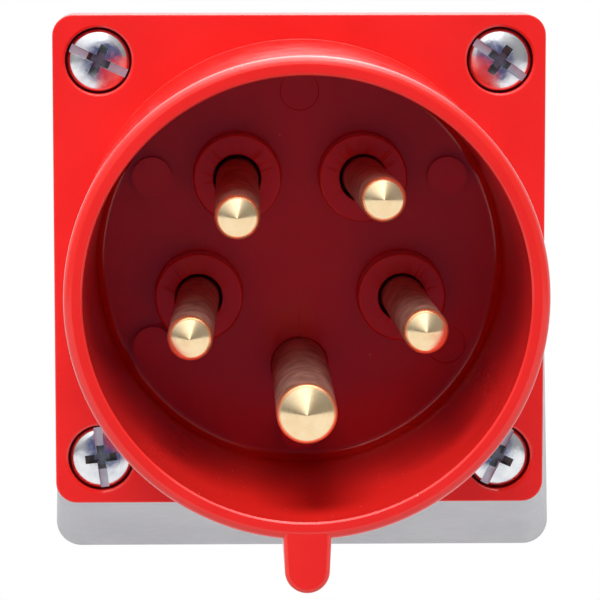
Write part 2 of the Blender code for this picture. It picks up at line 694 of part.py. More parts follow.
def build_gasket():
    side = FLANGE_SIDE - 2.0 * GASKET_INSET
    middle = 0.5 * (GASKET_FRONT + GASKET_REAR)
    gasket = block(
        "flange_gasket", (side, side, GASKET_THICKNESS), (0.0, 0.0, middle),
        round_edges=runs_along(2), radius=FLANGE_CORNER_RADIUS, parent=INLET, look=BLACK_RUBBER,
    )
    inner = 2.0 * SKIRT_OUTER_RADIUS + SKIRT_GAP
    opening = block(
        "gasket_opening", (inner, inner, GASKET_THICKNESS + 2.0 * OVERCUT), (0.0, 0.0, middle),
        round_edges=runs_along(2), radius=GASKET_INNER_CORNER, segments=6, parent=INLET, cutter=True,
    )
    combine(gasket, opening, "DIFFERENCE")
    hole = turned(
        "gasket_hole", plug(SCREW_HOLE_RADIUS, GASKET_REAR - OVERCUT, GASKET_FRONT + OVERCUT), SCREW_STEPS, cutter=True
    )
    combine(gasket, pattern("gasket_holes", hole, corner_places(), parent=INLET, cutter=True), "DIFFERENCE")


# Wall box: a wedge lofted from the flange's square to a wider rectangle on the wall

def box_edge(side_x, side_z, inset):
    """The long edge of the wedge at one corner, as its ends on the wall and at the flange."""
    flare = BOX_FLARE_RIGHT if side_x > 0 else BOX_FLARE_LEFT
    height = FLANGE_Z + (TOP_RISE if side_z > 0 else -BOTTOM_DROP)
    wall_end = Vector((side_x * (HALF_SIDE + flare - inset), 0.0, height - side_z * inset))
    front_end = INLET_MATRIX @ Vector(
        (side_x * (HALF_SIDE - inset), side_z * (HALF_SIDE - inset), BOX_FRONT)
    )
    return wall_end, front_end


def wedge(name, inset, back_depth, front_share, radius, **placing):
    """A block lofted along the four long edges, from a depth off the wall to a share of their length."""
    shape = bmesh.new()
    bmesh.ops.create_cube(shape, size=2.0)
    for vert in shape.verts:
        wall_end, front_end = box_edge(round(vert.co.x), round(vert.co.z), inset)
        share = front_share if vert.co.y < 0.0 else back_depth / -front_end.y
        vert.co = wall_end.lerp(front_end, share)
    long_edges = [edge for edge in shape.edges if abs(edge.verts[0].co.y - edge.verts[1].co.y) > BOX_BACK_WALL * 4.0]
    bmesh.ops.bevel(
        shape, geom=long_edges, offset=radius, offset_type="OFFSET", segments=4, profile=0.5, affect="EDGES"
    )
    bmesh.ops.triangulate(shape, faces=shape.faces)
    mesh = bpy.data.meshes.new(name)
    shape.to_mesh(mesh)
    shape.free()
    return add_object(name, mesh, **placing)


def cable_entry_matrix():
    """On the outside of the top wall, with +Z out of it."""
    wall_end, front_end = box_edge(1, 1, 0.0)
    share = CABLE_HOLE_SETBACK / -front_end.y
    height = wall_end.lerp(front_end, share).z
    return Matrix.Translation((0.0, -CABLE_HOLE_SETBACK, height)) @ Matrix.Rotation(BOX_DRAFT, 4, "X")


def build_wall_box():
    box = wedge("wall_box", 0.0, 0.0, 1.0, BOX_CORNER_RADIUS, look=GREY_PLASTIC)
    hollow = wedge(
        "box_hollow", BOX_WALL, BOX_BACK_WALL, 1.0 + OVERCUT / BOX_DEPTH_BOTTOM, BOX_CORNER_RADIUS, cutter=True
    )
    far_end = -2.0 * FLANGE_SIDE
    post = turned("post", plug(POST_RADIUS, far_end, 0.0), HOLE_STEPS, cutter=True)
    combine(hollow, pattern("corner_posts", post, corner_places(), parent=INLET, cutter=True), "DIFFERENCE")
    combine(box, hollow, "DIFFERENCE")

    insert_floor = INSERT_FRONT - INSERT_LENGTH - SEAT_GAP
    stepped = [
        (0.0, BOX_FRONT + OVERCUT),
        (INSERT_POCKET_RADIUS, BOX_FRONT + OVERCUT),
        (INSERT_POCKET_RADIUS, insert_floor),
        (SCREW_HOLE_RADIUS, insert_floor),
        (SCREW_HOLE_RADIUS, BOX_FRONT - PILOT_DEPTH),
        (0.0, BOX_FRONT - PILOT_DEPTH),
    ]
    pocket = turned("insert_pocket", stepped, SCREW_STEPS, cutter=True)
    combine(box, pattern("insert_pockets", pocket, corner_places(), parent=INLET, cutter=True), "DIFFERENCE")

    slot = block(
        "wall_slot", (WALL_SLOT_WIDTH, 2.0 * (BOX_BACK_WALL + OVERCUT), WALL_SLOT_LENGTH), (0.0, 0.0, 0.0),
        round_edges=runs_along(1), radius=0.49 * WALL_SLOT_WIDTH, cutter=True,
    )
    places = [
        Matrix.Translation((0.5 * side_x * WALL_SLOT_SPACING_X, 0.0, 0.5 * side_z * WALL_SLOT_SPACING_Z))
        for side_x in (-1, 1)
        for side_z in (-1, 1)
    ]
    combine(box, pattern("wall_slots", slot, places, cutter=True), "DIFFERENCE")

    entry = turned(
        "cable_hole", plug(CABLE_HOLE_RADIUS, -BOX_WALL - OVERCUT, OVERCUT), HOLE_STEPS,
        matrix=cable_entry_matrix(), cutter=True,
    )
    combine(box, entry, "DIFFERENCE")


def build_cable_grommet():
    """Rubber grommet gripping the top wall by a groove, closed by a thin membrane."""
    groove = CABLE_HOLE_RADIUS - SEAT_GAP
    lip = CABLE_HOLE_RADIUS + GROMMET_LIP
    outer_low = SEAT_GAP
    outer_high = outer_low + GROMMET_LIP_THICKNESS
    inner_high = -BOX_WALL - SEAT_GAP
    inner_low = inner_high - GROMMET_LIP_THICKNESS
    dome_top = outer_high + GROMMET_DOME_HEIGHT
    hollow_radius = groove - GROMMET_LIP
    profile = [
        (0.0, dome_top),
        (GROMMET_TOP_RADIUS, dome_top),
        (groove, outer_high),
        (lip, outer_high),
        (lip, outer_low),
        (groove, outer_low),
        (groove, inner_high),
        (lip, inner_high),
        (lip, inner_low),
        (hollow_radius, inner_low),
        (hollow_radius, outer_low),
        (GROMMET_TOP_RADIUS - GROMMET_MEMBRANE, dome_top - GROMMET_MEMBRANE),
        (0.0, dome_top - GROMMET_MEMBRANE),
    ]
    turned("cable_grommet", profile, HOLE_STEPS, matrix=cable_entry_matrix(), look=BLACK_RUBBER)


build_front_housing()
build_contact_carrier()
build_pins()
build_cover_screws()
build_thread_inserts()
build_gasket()
build_wall_box()
build_cable_grommet()
bpy.context.view_layer.update()
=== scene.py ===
"""Generator inlet box: visible pieces, materials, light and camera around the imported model.

Inlet frame: origin on the front face of the flange, on the axis of the collar, with +X to the right,
+Y up the flange and +Z out along the collar.
"""

import json
import math

import bmesh
import bpy
from mathutils import Matrix, Vector

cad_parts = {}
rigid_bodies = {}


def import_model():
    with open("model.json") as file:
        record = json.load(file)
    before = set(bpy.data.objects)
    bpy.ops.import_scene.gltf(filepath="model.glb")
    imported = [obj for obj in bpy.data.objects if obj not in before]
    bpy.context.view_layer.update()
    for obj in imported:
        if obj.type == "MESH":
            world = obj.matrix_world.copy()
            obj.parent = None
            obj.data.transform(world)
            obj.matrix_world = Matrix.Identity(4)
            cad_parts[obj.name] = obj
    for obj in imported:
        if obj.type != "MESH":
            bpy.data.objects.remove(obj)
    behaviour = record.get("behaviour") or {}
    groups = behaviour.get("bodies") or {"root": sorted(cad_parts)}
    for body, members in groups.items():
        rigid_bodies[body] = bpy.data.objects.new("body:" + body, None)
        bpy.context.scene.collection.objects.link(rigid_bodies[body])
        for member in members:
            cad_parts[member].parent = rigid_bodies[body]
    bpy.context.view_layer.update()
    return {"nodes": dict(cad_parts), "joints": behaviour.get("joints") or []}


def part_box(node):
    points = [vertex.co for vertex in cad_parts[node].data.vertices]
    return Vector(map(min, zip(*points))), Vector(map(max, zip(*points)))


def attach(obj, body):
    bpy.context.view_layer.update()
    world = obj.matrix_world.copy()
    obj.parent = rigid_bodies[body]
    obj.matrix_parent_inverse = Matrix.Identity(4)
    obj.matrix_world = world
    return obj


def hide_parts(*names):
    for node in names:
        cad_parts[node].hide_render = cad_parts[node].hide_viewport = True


MM = 0.001

for leftover in list(bpy.data.objects):
    bpy.data.objects.remove(leftover, do_unlink=True)
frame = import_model()

# Flange
HALF_SIDE = 35.0 * MM
FLANGE_REAR = -8.0 * MM
FLANGE_CORNER = 3.0 * MM
FLANGE_EDGE = 0.22 * MM
FLANGE_BACK_EDGE = 0.2 * MM

# Collar, cavity and skirt
COLLAR_OUTER = 31.5 * MM
COLLAR_INNER = 29.0 * MM
COLLAR_HEIGHT = 48.0 * MM
BASE_FILLET = 0.15 * MM
RIM_ROUND = 1.35 * MM
RIM_CHAMFER = 0.28 * MM
RIM_EDGE = 0.1 * MM
FLOOR_RADIUS = 28.75 * MM
FLOOR_REAR = -4.0 * MM
FLOOR_FILLET = 1.2 * MM
SKIRT_OUTER = 30.0 * MM
SKIRT_INNER = 27.5 * MM
SKIRT_END = -13.0 * MM
OPENING_RADIUS = 29.5 * MM
SINK = 0.03 * MM

# Bosses, guide holes and moulding marks in the cavity
PIN_CIRCLE = 15.1 * MM
BOSS_RADIUS = 6.2 * MM
BOSS_HEIGHT = 5.5 * MM
BOSS_EDGE = 0.3 * MM
BOSS_FILLET = 0.25 * MM
PHASE_HOLE = 3.353 * MM
EARTH_HOLE = 4.05 * MM
HOLE_LIP = 0.15 * MM
LIP_START = math.radians(12.0)
EJECTOR_CIRCLE = 24.2 * MM
EJECTOR_RADIUS = 2.75 * MM
EJECTOR_DEPTH = 0.12 * MM
EJECTOR_SLOPE = 0.06 * MM
EJECTOR_ANGLES = tuple(30.0 + 60.0 * step for step in range(6))

# Bosses behind the floor that take the carrier's screws
REAR_BOSS_CIRCLE = 21.0 * MM
REAR_BOSS_RADIUS = 3.0 * MM
REAR_BOSS_END = -8.0 * MM
REAR_PILOT_RADIUS = 1.7 * MM
REAR_PILOT_END = -2.2 * MM
REAR_BOSS_ANGLES = (90.0, 234.0, 306.0)

# Key rib
KEY_HALF_ROOT = 3.2 * MM
KEY_END_RADIUS = 2.95 * MM
KEY_REACH = 7.0 * MM
KEY_LENGTH = 20.0 * MM
KEY_FRONT = 47.9 * MM
KEY_EDGE = 0.7 * MM

# Screw recesses in the flange
SCREW_HALF_PITCH = 28.5 * MM
SCREW_SEAT = -2.6 * MM
RECESS_RADIUS = 4.72 * MM
RECESS_FLOOR = -4.4 * MM
RECESS_LIP = 0.45 * MM
SCREW_HOLE = 2.4 * MM

# Pins
PIN_PIVOT = 0.75 * MM
PHASE_RADIUS = 3.0 * MM
PHASE_REACH = 42.4 * MM
PHASE_CONE = 1.4 * MM
EARTH_RADIUS = 4.0 * MM
EARTH_REACH = 47.5 * MM
EARTH_CONE = 1.9 * MM
TIP_ROUND = 0.9 * MM
APEX_RADIUS = 0.05 * MM
CONE_STEPS = 5
SHOULDER_STEP = 2.6 * MM
SHOULDER_FRONT = -4.65 * MM
SHOULDER_REAR = -7.65 * MM
BARREL_STEP = 0.9 * MM
BARREL_END = -30.0 * MM
BARREL_EDGE = 0.4 * MM
WIRE_BORE = 2.2 * MM
WIRE_BORE_DEPTH = 15.0 * MM
CLAMP_HOLE = 1.8 * MM
CLAMP_INSET = 3.6 * MM
CLAMP_PITCH = 6.5 * MM

# Where each loose pin stands round the axis, which way it leans and by how much, in degrees
PHASE_PINS = {
    "upper_left": (126.0, 267.0, 3.0),
    "upper_right": (54.0, 10.0, 1.8),
    "left": (198.0, 232.0, 2.0),
    "right": (342.0, 348.0, 2.0),
}
EARTH_ANGLE = 270.0

# Cover screws: side in X, side in Y and the turn of the slot in degrees
CORNERS = {
    "top_left": (-1, 1, -25.0),
    "top_right": (1, 1, -36.0),
    "bottom_left": (-1, -1, -83.0),
    "bottom_right": (1, -1, -115.0),
}
HEAD_RADIUS = 4.45 * MM
HEAD_HEIGHT = 2.6 * MM
HEAD_CROWN = 0.75 * MM
HEAD_ROUND = 0.9 * MM
HEAD_FOOT_ROUND = 0.15 * MM
HEAD_SHARES = (0.2, 0.4, 0.6, 0.75, 0.9)
SLOT_HALF_WIDTH = 0.62 * MM
SLOT_DEPTH = 1.05 * MM
CROSS_HALF_SPAN = 2.45 * MM
CROSS_HALF_WIDTH = 0.62 * MM
CROSS_DEPTH = 1.9 * MM
CROSS_FLOOR_LENGTH = 0.45
CROSS_FLOOR_WIDTH = 0.75
SCREW_EDGE = 0.13 * MM
RECESS_REACH = 2.2 * MM
THREAD_CREST = 2.0 * MM
THREAD_ROOT = 1.62 * MM
THREAD_PITCH = 0.7 * MM
THREAD_END = -12.4 * MM
THREAD_POINT = 0.8 * MM
THREAD_POINT_SHARE = 0.62
THREAD_FLANK = 2.3

# Sealing rings under the screw heads
SEAL_INNER = 2.3 * MM
SEAL_OUTER = 4.05 * MM
SEAL_FRONT = -0.3 * MM
SEAL_THICKNESS = 1.2 * MM
SEAL_INNER_ROUND = 0.2 * MM
SEAL_OUTER_ROUND = 0.5 * MM

# Wall box
BOX_FRONT = -10.1 * MM
BOX_WALL = 2.6 * MM
BOX_BACK_WALL = 3.0 * MM
BOX_CORNER = 4.0 * MM
BOX_EDGE = 0.5 * MM
HOLLOW_EDGE = 0.02 * MM
POST_RADIUS = 4.8 * MM
POST_END = -4.0 * HALF_SIDE
INSERT_POCKET = 3.3 * MM
INSERT_FLOOR = -14.7 * MM
PILOT_END = -22.1 * MM
WALL_SLOT_HALF_WIDTH = 2.5 * MM
WALL_SLOT_HALF_LENGTH = 4.5 * MM
WALL_SLOT_X = 20.0 * MM
WALL_SLOT_Z = 23.0 * MM

# Cable entry
CABLE_HOLE = 12.5 * MM
CABLE_SETBACK = 34.0 * MM
GROMMET_GROOVE = 12.2 * MM
GROMMET_LIP = 15.0 * MM
GROMMET_LIP_LOW = 0.3 * MM
GROMMET_LIP_HIGH = 2.1 * MM
GROMMET_INNER_HIGH = -2.9 * MM
GROMMET_INNER_LOW = -4.7 * MM
GROMMET_BORE = 9.7 * MM
GROMMET_TOP = 7.0 * MM
GROMMET_DOME = 7.1 * MM
GROMMET_MEMBRANE = 1.2 * MM
GROMMET_ROUND = 0.6 * MM

# Facets round a full turn
COLLAR_STEPS = 240
HOLE_STEPS = 72
PIN_STEPS = 96
SCREW_STEPS = 72
THREAD_STEPS = 32
THREAD_ROWS_PER_TURN = 8
CORNER_STEPS = 10
ARC_STEPS = 5
OVERCUT = 2.0 * MM
NEARLY_ALL = 0.999
SQUARE = ((-1, -1), (1, -1), (1, 1), (-1, 1))
SHARP_ANGLE = math.radians(32.0)
EDGE_ANGLE = math.radians(40.0)
INNER_EDGE = 0.12 * MM


# Placing

def inlet_matrix():
    """The inlet frame in the world, found from the four cover screws' joints."""
    turns = {joint["name"]: joint for joint in frame["joints"] if joint["name"].endswith("_turn")}
    seats = {corner: Vector(turns[f"screw_{corner}_turn"]["pos_m"]) for corner in CORNERS}
    out = Vector(turns["screw_top_left_turn"]["axis"]).normalized()
    across = (seats["top_right"] - seats["top_left"]).normalized()
    matrix = Matrix((across, out.cross(across), out)).transposed().to_4x4()
    centre = sum(seats.values(), Vector()) / len(seats)
    matrix.translation = centre - out * SCREW_SEAT
    return matrix


INLET = inlet_matrix()


def ring_places(angles, radius):
    """Places on a circle round the inlet axis, at angles in degrees."""
    turns = [math.radians(angle) for angle in angles]
    return [Matrix.Translation((radius * math.cos(a), radius * math.sin(a), 0.0)) for a in turns]


def corner_places(height=0.0):
    """Places on the screw square."""
    return [
        Matrix.Translation((side_x * SCREW_HALF_PITCH, side_y * SCREW_HALF_PITCH, height))
        for side_x, side_y, _ in CORNERS.values()
    ]


PHASE_PLACES = ring_places([angle for angle, _, _ in PHASE_PINS.values()], PIN_CIRCLE)


# Shapes

def soften(points, radii, steps=ARC_STEPS):
    """A path of (radius, height) points whose chosen corners, by index, are rounded by arcs."""
    path = []
    for index, point in enumerate(points):
        radius = radii.get(index, 0.0)
        if not radius:
            path.append(tuple(point))
            continue
        here = Vector(point)
        back = (Vector(points[index - 1]) - here).normalized()
        ahead = (Vector(points[(index + 1) % len(points)]) - here).normalized()
        half = 0.5 * back.angle(ahead)
        centre = here + (back + ahead).normalized() * (radius / math.sin(half))
        first = here + back * (radius / math.tan(half)) - centre
        last = here + ahead * (radius / math.tan(half)) - centre
        start = math.atan2(first.y, first.x)
        sweep = (math.atan2(last.y, last.x) - start + math.pi) % (2.0 * math.pi) - math.pi
        for step in range(steps + 1):
            angle = start + sweep * step / steps
            path.append((centre.x + radius * math.cos(angle), centre.y + radius * math.sin(angle)))
    return path


def skin(rings, closed=False, caps=True):
    """Faces between rings of points; a ring of one point is a pole."""
    shape = bmesh.new()
    rows = [[shape.verts.new(point) for point in ring] for ring in rings]
    pairs = list(zip(rows, rows[1:]))
    if closed:
        pairs.append((rows[-1], rows[0]))
    for low, high in pairs:
        count = max(len(low), len(high))
        for index in range(count):
            after = (index + 1) % count
            corners = [
                low[index % len(low)], low[after % len(low)],
                high[after % len(high)], high[index % len(high)],
            ]
            shape.faces.new(list(dict.fromkeys(corners)))
    if caps and not closed:
        for row in (rows[0], rows[-1]):
            if len(row) > 1:
                shape.faces.new(row)
    bmesh.ops.recalc_face_normals(shape, faces=shape.faces)
    return shape


def turned(profile, steps, closed=False):
    """A profile of (radius, height) points turned about Z."""
    rings = []
    for radius, height in profile:
        if radius < 0.001 * MM:
            rings.append([(0.0, 0.0, height)])
            continue
        angles = [2.0 * math.pi * step / steps for step in range(steps)]
        rings.append([(radius * math.cos(a), radius * math.sin(a), height) for a in angles])
    return skin(rings, closed)


def spread(shape, places):
    """One shape made of a copy at each place; the first shape is used up."""
    source = bpy.data.meshes.new("source")
    shape.to_mesh(source)
    shape.free()
    result = bmesh.new()
    for place in places:
        copy = source.copy()
        copy.transform(place)
        result.from_mesh(copy)
        bpy.data.meshes.remove(copy)
    bpy.data.meshes.remove(source)
    return result


def solid(name, shape, matrix):
    """An object with that shape, placed in the world."""
    mesh = bpy.data.meshes.new(name)
    shape.to_mesh(mesh)
    shape.free()
    obj = bpy.data.objects.new(name, mesh)
    bpy.context.scene.collection.objects.link(obj)
    obj.matrix_world = matrix
    return obj


def carve(target, operation, shape, matrix=None):
    """Union with a shape, or cut it away, and keep the result as the target's own mesh."""
    tool = solid("tool", shape, matrix or target.matrix_world)
    step = target.modifiers.new("Carve", "BOOLEAN")
    step.operation = operation
    step.object = tool
    step.solver = "EXACT"
    bpy.context.view_layer.update()
    depsgraph = bpy.context.evaluated_depsgraph_get()
    mesh = bpy.data.meshes.new_from_object(target.evaluated_get(depsgraph), depsgraph=depsgraph)
    target.modifiers.clear()
    spent = (target.data, tool.data)
    target.data = mesh
    bpy.data.objects.remove(tool, do_unlink=True)
    for old in spent:
        bpy.data.meshes.remove(old)


def dress(obj, look, body, node, weighted=True):
    """Smooth shading, material and the body that the piece belongs to; the imported node that it stands
    for is hidden.
    """
    obj.data.materials.clear()
    obj.data.materials.append(look)
    obj.data.shade_smooth()
    obj.data.set_sharp_from_angle(angle=SHARP_ANGLE)
    if weighted:
        normals = obj.modifiers.new("Weighted normals", "WEIGHTED_NORMAL")
        normals.keep_sharp = True
        normals.mode = "FACE_AREA"
        normals.weight = 100
    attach(obj, body)
    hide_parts(node)


def soft_edges(obj, width):
    """Small rounds along the sharp edges, as a modifier."""
    soft = obj.modifiers.new("Soft edges", "BEVEL")
    soft.width = width
    soft.segments = 2
    soft.limit_method = "ANGLE"
    soft.angle_limit = EDGE_ANGLE


def lipped_bore(radius, lip, low, deeper=()):
    """Profile of a bore whose mouth at height 0 is rounded, then any narrower steps below it."""
    mouth = [(radius + lip * (1.0 - math.sin(a)), -lip * (1.0 - math.cos(a))) for a in lip_angles()]
    slope = (mouth[0][0] - mouth[1][0]) / (mouth[0][1] - mouth[1][1])
    top = (mouth[0][0] + slope * OVERCUT, OVERCUT)
    profile = [(0.0, OVERCUT), top] + mouth + [(radius, low)]
    for step_radius, step_low in deeper:
        profile += [(step_radius, profile[-1][1]), (step_radius, step_low)]
    return profile + [(0.0, profile[-1][1])]


def lip_angles():
    """Angles along a rounded mouth, starting a little off the flat face so that the cut is clean."""
    sweep = 0.5 * math.pi - LIP_START
    return [LIP_START + sweep * step / ARC_STEPS for step in range(ARC_STEPS + 1)]


# Materials

class Look:
    """A node material round one Principled shader."""

    def __init__(self, name, colour, roughness, metallic=0.0, specular=0.5):
        """A shader with one colour and finish, to be varied by the calls below."""
        self.material = bpy.data.materials.new(name)
        self.material.use_nodes = True
        self.nodes = self.material.node_tree.nodes
        self.links = self.material.node_tree.links
        self.shader = self.nodes["Principled BSDF"]
        self.set("Base Color", (*colour, 1.0))
        self.set("Roughness", roughness)
        self.set("Metallic", metallic)
        self.set("Specular IOR Level", specular)
        self.place = self.node("ShaderNodeTexCoord").outputs["Object"]

    def node(self, kind, inputs=None, **settings):
        """A new node with its settings, and its inputs set or linked."""
        node = self.nodes.new(kind)
        for name, value in settings.items():
            setattr(node, name, value)
        for name, value in (inputs or {}).items():
            if isinstance(value, bpy.types.NodeSocket):
                self.links.new(value, node.inputs[name])
            else:
                node.inputs[name].default_value = value
        return node

    def set(self, name, value):
        """Set or link one input of the shader."""
        if isinstance(value, bpy.types.NodeSocket):
            self.links.new(value, self.shader.inputs[name])
        else:
            self.shader.inputs[name].default_value = value

    def math(self, operation, first, second=0.0):
        """One arithmetic step."""
        return self.node("ShaderNodeMath", {0: first, 1: second}, operation=operation).outputs[0]

    def noise(self, scale, detail=2.0, place=None):
        """Cloudy noise, with its scale per metre."""
        inputs = {"Vector": place or self.place, "Scale": scale, "Detail": detail}
        return self.node("ShaderNodeTexNoise", inputs).outputs["Fac"]

    def rings(self, along, scale, detail=2.0):
        """Noise that changes only with one measure, such as the distance from a turning axis."""
        inputs = {"W": along, "Scale": scale, "Detail": detail}
        return self.node("ShaderNodeTexNoise", inputs, noise_dimensions="1D").outputs["Fac"]

    def fit(self, value, low, high, new_low, new_high):
        """A value's range moved to a new one, and held inside it."""
        inputs = {
            "Value": value, "From Min": low, "From Max": high,
            "To Min": new_low, "To Max": new_high,
        }
        return self.node("ShaderNodeMapRange", inputs).outputs["Result"]

    def blend(self, share, first, second):
        """A mix of two colours."""
        node = self.node("ShaderNodeMix", {"Factor": share}, data_type="RGBA")
        for socket, value in ((node.inputs[6], first), (node.inputs[7], second)):
            if isinstance(value, bpy.types.NodeSocket):
                self.links.new(value, socket)
            else:
                socket.default_value = (*value, 1.0)
        return node.outputs[2]

    def bump(self, height, distance, under=None):
        """Relief of that depth, on top of another bump where one is given."""
        inputs = {"Height": height, "Distance": distance, "Strength": 1.0}
        if under:
            inputs["Normal"] = under
        normal = self.node("ShaderNodeBump", inputs).outputs["Normal"]
        self.set("Normal", normal)
        return normal

    def specks(self, cells_per_metre, size, share):
        """Sparse dots: 1 inside a speck and 0 outside."""
        inputs = {"Vector": self.place, "Scale": cells_per_metre}
        cells = self.node("ShaderNodeTexVoronoi", inputs)
        chance = self.node("ShaderNodeSeparateColor", {"Color": cells.outputs["Color"]}).outputs[0]
        chosen = self.math("LESS_THAN", chance, share)
        near = self.fit(cells.outputs["Distance"], 0.6 * size, size, 1.0, 0.0)
        return self.math("MULTIPLY", chosen, near)


def red_plastic():
    """Glossy moulded plastic: faint flow mottle, fine grain and dust on what faces up."""
    look = Look("red_plastic", (0.7, 0.0172, 0.0127), 0.16, specular=0.5)
    flow = look.noise(90.0, 3.0)
    share = look.fit(flow, 0.35, 0.65, 0.0, 1.0)
    tone = look.blend(share, (0.68, 0.016, 0.0115), (0.72, 0.0184, 0.0139))
    facing = look.node("ShaderNodeTexCoord").outputs["Normal"]
    upward = look.node("ShaderNodeSeparateXYZ", {"Vector": facing}).outputs["Y"]
    dust = look.specks(700.0, 0.063, look.fit(upward, 0.4, 0.9, 0.05, 0.35))
    look.set("Base Color", look.blend(dust, tone, (0.8, 0.55, 0.5)))
    look.set("Roughness", look.fit(look.noise(260.0, 3.0), 0.3, 0.7, 0.13, 0.19))
    look.bump(look.noise(2600.0, 2.0), 0.0003 * MM)
    return look.material


def grey_plastic():
    """Satin moulded plastic with a fine spark-eroded grain."""
    look = Look("grey_plastic", (0.46, 0.45, 0.475), 0.5, specular=0.3)
    flow = look.noise(60.0, 3.0)
    share = look.fit(flow, 0.35, 0.65, 0.0, 1.0)
    look.set("Base Color", look.blend(share, (0.44, 0.43, 0.455), (0.48, 0.47, 0.495)))
    look.set("Roughness", look.fit(look.noise(500.0, 3.0), 0.3, 0.7, 0.42, 0.55))
    grain = look.bump(look.noise(2200.0, 3.0), 0.004 * MM)
    look.bump(look.noise(120.0, 2.0), 0.012 * MM, grain)
    return look.material


def turned_metal(name, dark, light, roughness, rings_per_metre, ring_depth, metallic=1.0):
    """Metal with fine turning rings about its own Z axis, a light tarnish and small scuffs."""
    look = Look(name, light, roughness, metallic)
    parts = look.node("ShaderNodeSeparateXYZ", {"Vector": look.place}).outputs
    across = look.math("POWER", parts["X"], 2.0)
    up = look.math("POWER", parts["Y"], 2.0)
    radius = look.math("SQRT", look.math("ADD", across, up))
    along = look.math("ADD", radius, parts["Z"])
    rings = look.rings(along, rings_per_metre, 2.0)
    tarnish = look.noise(420.0, 4.0)
    tone = look.blend(look.fit(tarnish, 0.3, 0.62, 0.0, 1.0), dark, light)
    scuffs = look.fit(look.noise(3800.0, 3.0), 0.56, 0.7, 0.0, 0.45)
    look.set("Base Color", look.blend(scuffs, tone, light))
    look.set("Roughness", look.fit(rings, 0.25, 0.75, 0.7 * roughness, 1.4 * roughness))
    look.bump(rings, ring_depth)
    return look.material


def zinc(name, dull, bright, smooth, rough):
    """Zinc plate with a cloudy passivation and fine pits."""
    look = Look(name, bright, smooth, metallic=1.0)
    clouds = look.noise(520.0, 3.0)
    look.set("Base Color", look.blend(look.fit(clouds, 0.3, 0.7, 0.0, 1.0), dull, bright))
    look.set("Roughness", look.fit(look.noise(1500.0, 3.0), 0.3, 0.7, smooth, rough))
    look.bump(look.noise(3200.0, 2.0), 0.003 * MM)
    return look.material


def rubber():
    """Matt black rubber with a dusty bloom."""
    look = Look("black_rubber", (0.022, 0.022, 0.023), 0.75, specular=0.3)
    bloom = look.fit(look.noise(320.0, 4.0), 0.45, 0.75, 0.0, 1.0)
    look.set("Base Color", look.blend(bloom, (0.018, 0.018, 0.019), (0.05, 0.05, 0.052)))
    look.set("Roughness", look.fit(look.noise(900.0, 2.0), 0.3, 0.7, 0.66, 0.85))
    look.bump(look.noise(2400.0, 2.0), 0.008 * MM)
    return look.material


def dark_plastic():
    """Dark glass-filled moulding with a faint fibre grain."""
    look = Look("dark_plastic", (0.05, 0.05, 0.055), 0.5, specular=0.4)
    inputs = {"Vector": look.place, "Scale": (1.0, 3.0, 1.0)}
    stretch = look.node("ShaderNodeMapping", inputs).outputs["Vector"]
    fibre = look.noise(900.0, 4.0, stretch)
    share = look.fit(fibre, 0.35, 0.7, 0.0, 1.0)
    look.set("Base Color", look.blend(share, (0.042, 0.042, 0.047), (0.075, 0.075, 0.08)))
    look.set("Roughness", look.fit(fibre, 0.3, 0.7, 0.42, 0.6))
    look.bump(fibre, 0.01 * MM)
    return look.material


RED = red_plastic()
GREY = grey_plastic()
# Shaft and insert brass: duller than the tip, and painted darker and pinker than brass for the shade and
# red light inside the collar.
BRASS = turned_metal("brass", (0.3, 0.15, 0.11), (0.6, 0.37, 0.29), 0.46, 9000.0, 0.0025 * MM, 0.72)
BRASS_TIP = turned_metal("brass_tip", (0.9, 0.66, 0.38), (0.96, 0.75, 0.47), 0.17, 3200.0, 0.008 * MM)
# Copper-coloured brass for the tip's rounded shoulder: a painted reflection of the red collar.
BRASS_RING_RED_REFLECTION = turned_metal(
    "brass_ring_red_reflection", (0.78, 0.34, 0.15), (0.9, 0.48, 0.25), 0.28, 3200.0, 0.004 * MM, 0.85,
)
ZINC = zinc("zinc", (0.7, 0.72, 0.77), (0.86, 0.87, 0.88), 0.13, 0.27)
# Zinc in the driver recess: rougher, and painted darker for the shade in the slot and, much darker, in
# the cross.
ZINC_SLOT = zinc("zinc_slot", (0.62, 0.64, 0.7), (0.8, 0.82, 0.86), 0.4, 0.55)
ZINC_CROSS_SHADE = zinc("zinc_cross_shade", (0.2, 0.24, 0.25), (0.4, 0.44, 0.45), 0.3, 0.45)
RUBBER = rubber()
DARK = dark_plastic()


# Front housing

def flange_rings():
    """Square outlines from the back of the flange to its softly rounded front."""
    stations = [(FLANGE_BACK_EDGE, FLANGE_REAR), (0.0, FLANGE_REAR + FLANGE_BACK_EDGE)]
    for step in range(ARC_STEPS + 1):
        angle = 0.5 * math.pi * step / ARC_STEPS
        inset = FLANGE_EDGE * (1.0 - math.cos(angle))
        stations.append((inset, FLANGE_EDGE * (math.sin(angle) - 1.0)))
    return [
        rounded_square(HALF_SIDE - inset, FLANGE_CORNER - inset, height)
        for inset, height in stations
    ]


def rounded_square(half, radius, height):
    """Outline of a square with round corners."""
    points = []
    for quarter in range(4):
        for step in range(CORNER_STEPS + 1):
            angle = 0.5 * math.pi * (quarter + step / CORNER_STEPS)
            side_x = 1.0 if quarter in (0, 3) else -1.0
            side_y = 1.0 if quarter in (0, 1) else -1.0
            points.append((
                side_x * (half - radius) + radius * math.cos(angle),
                side_y * (half - radius) + radius * math.sin(angle),
                height,
            ))
    return points


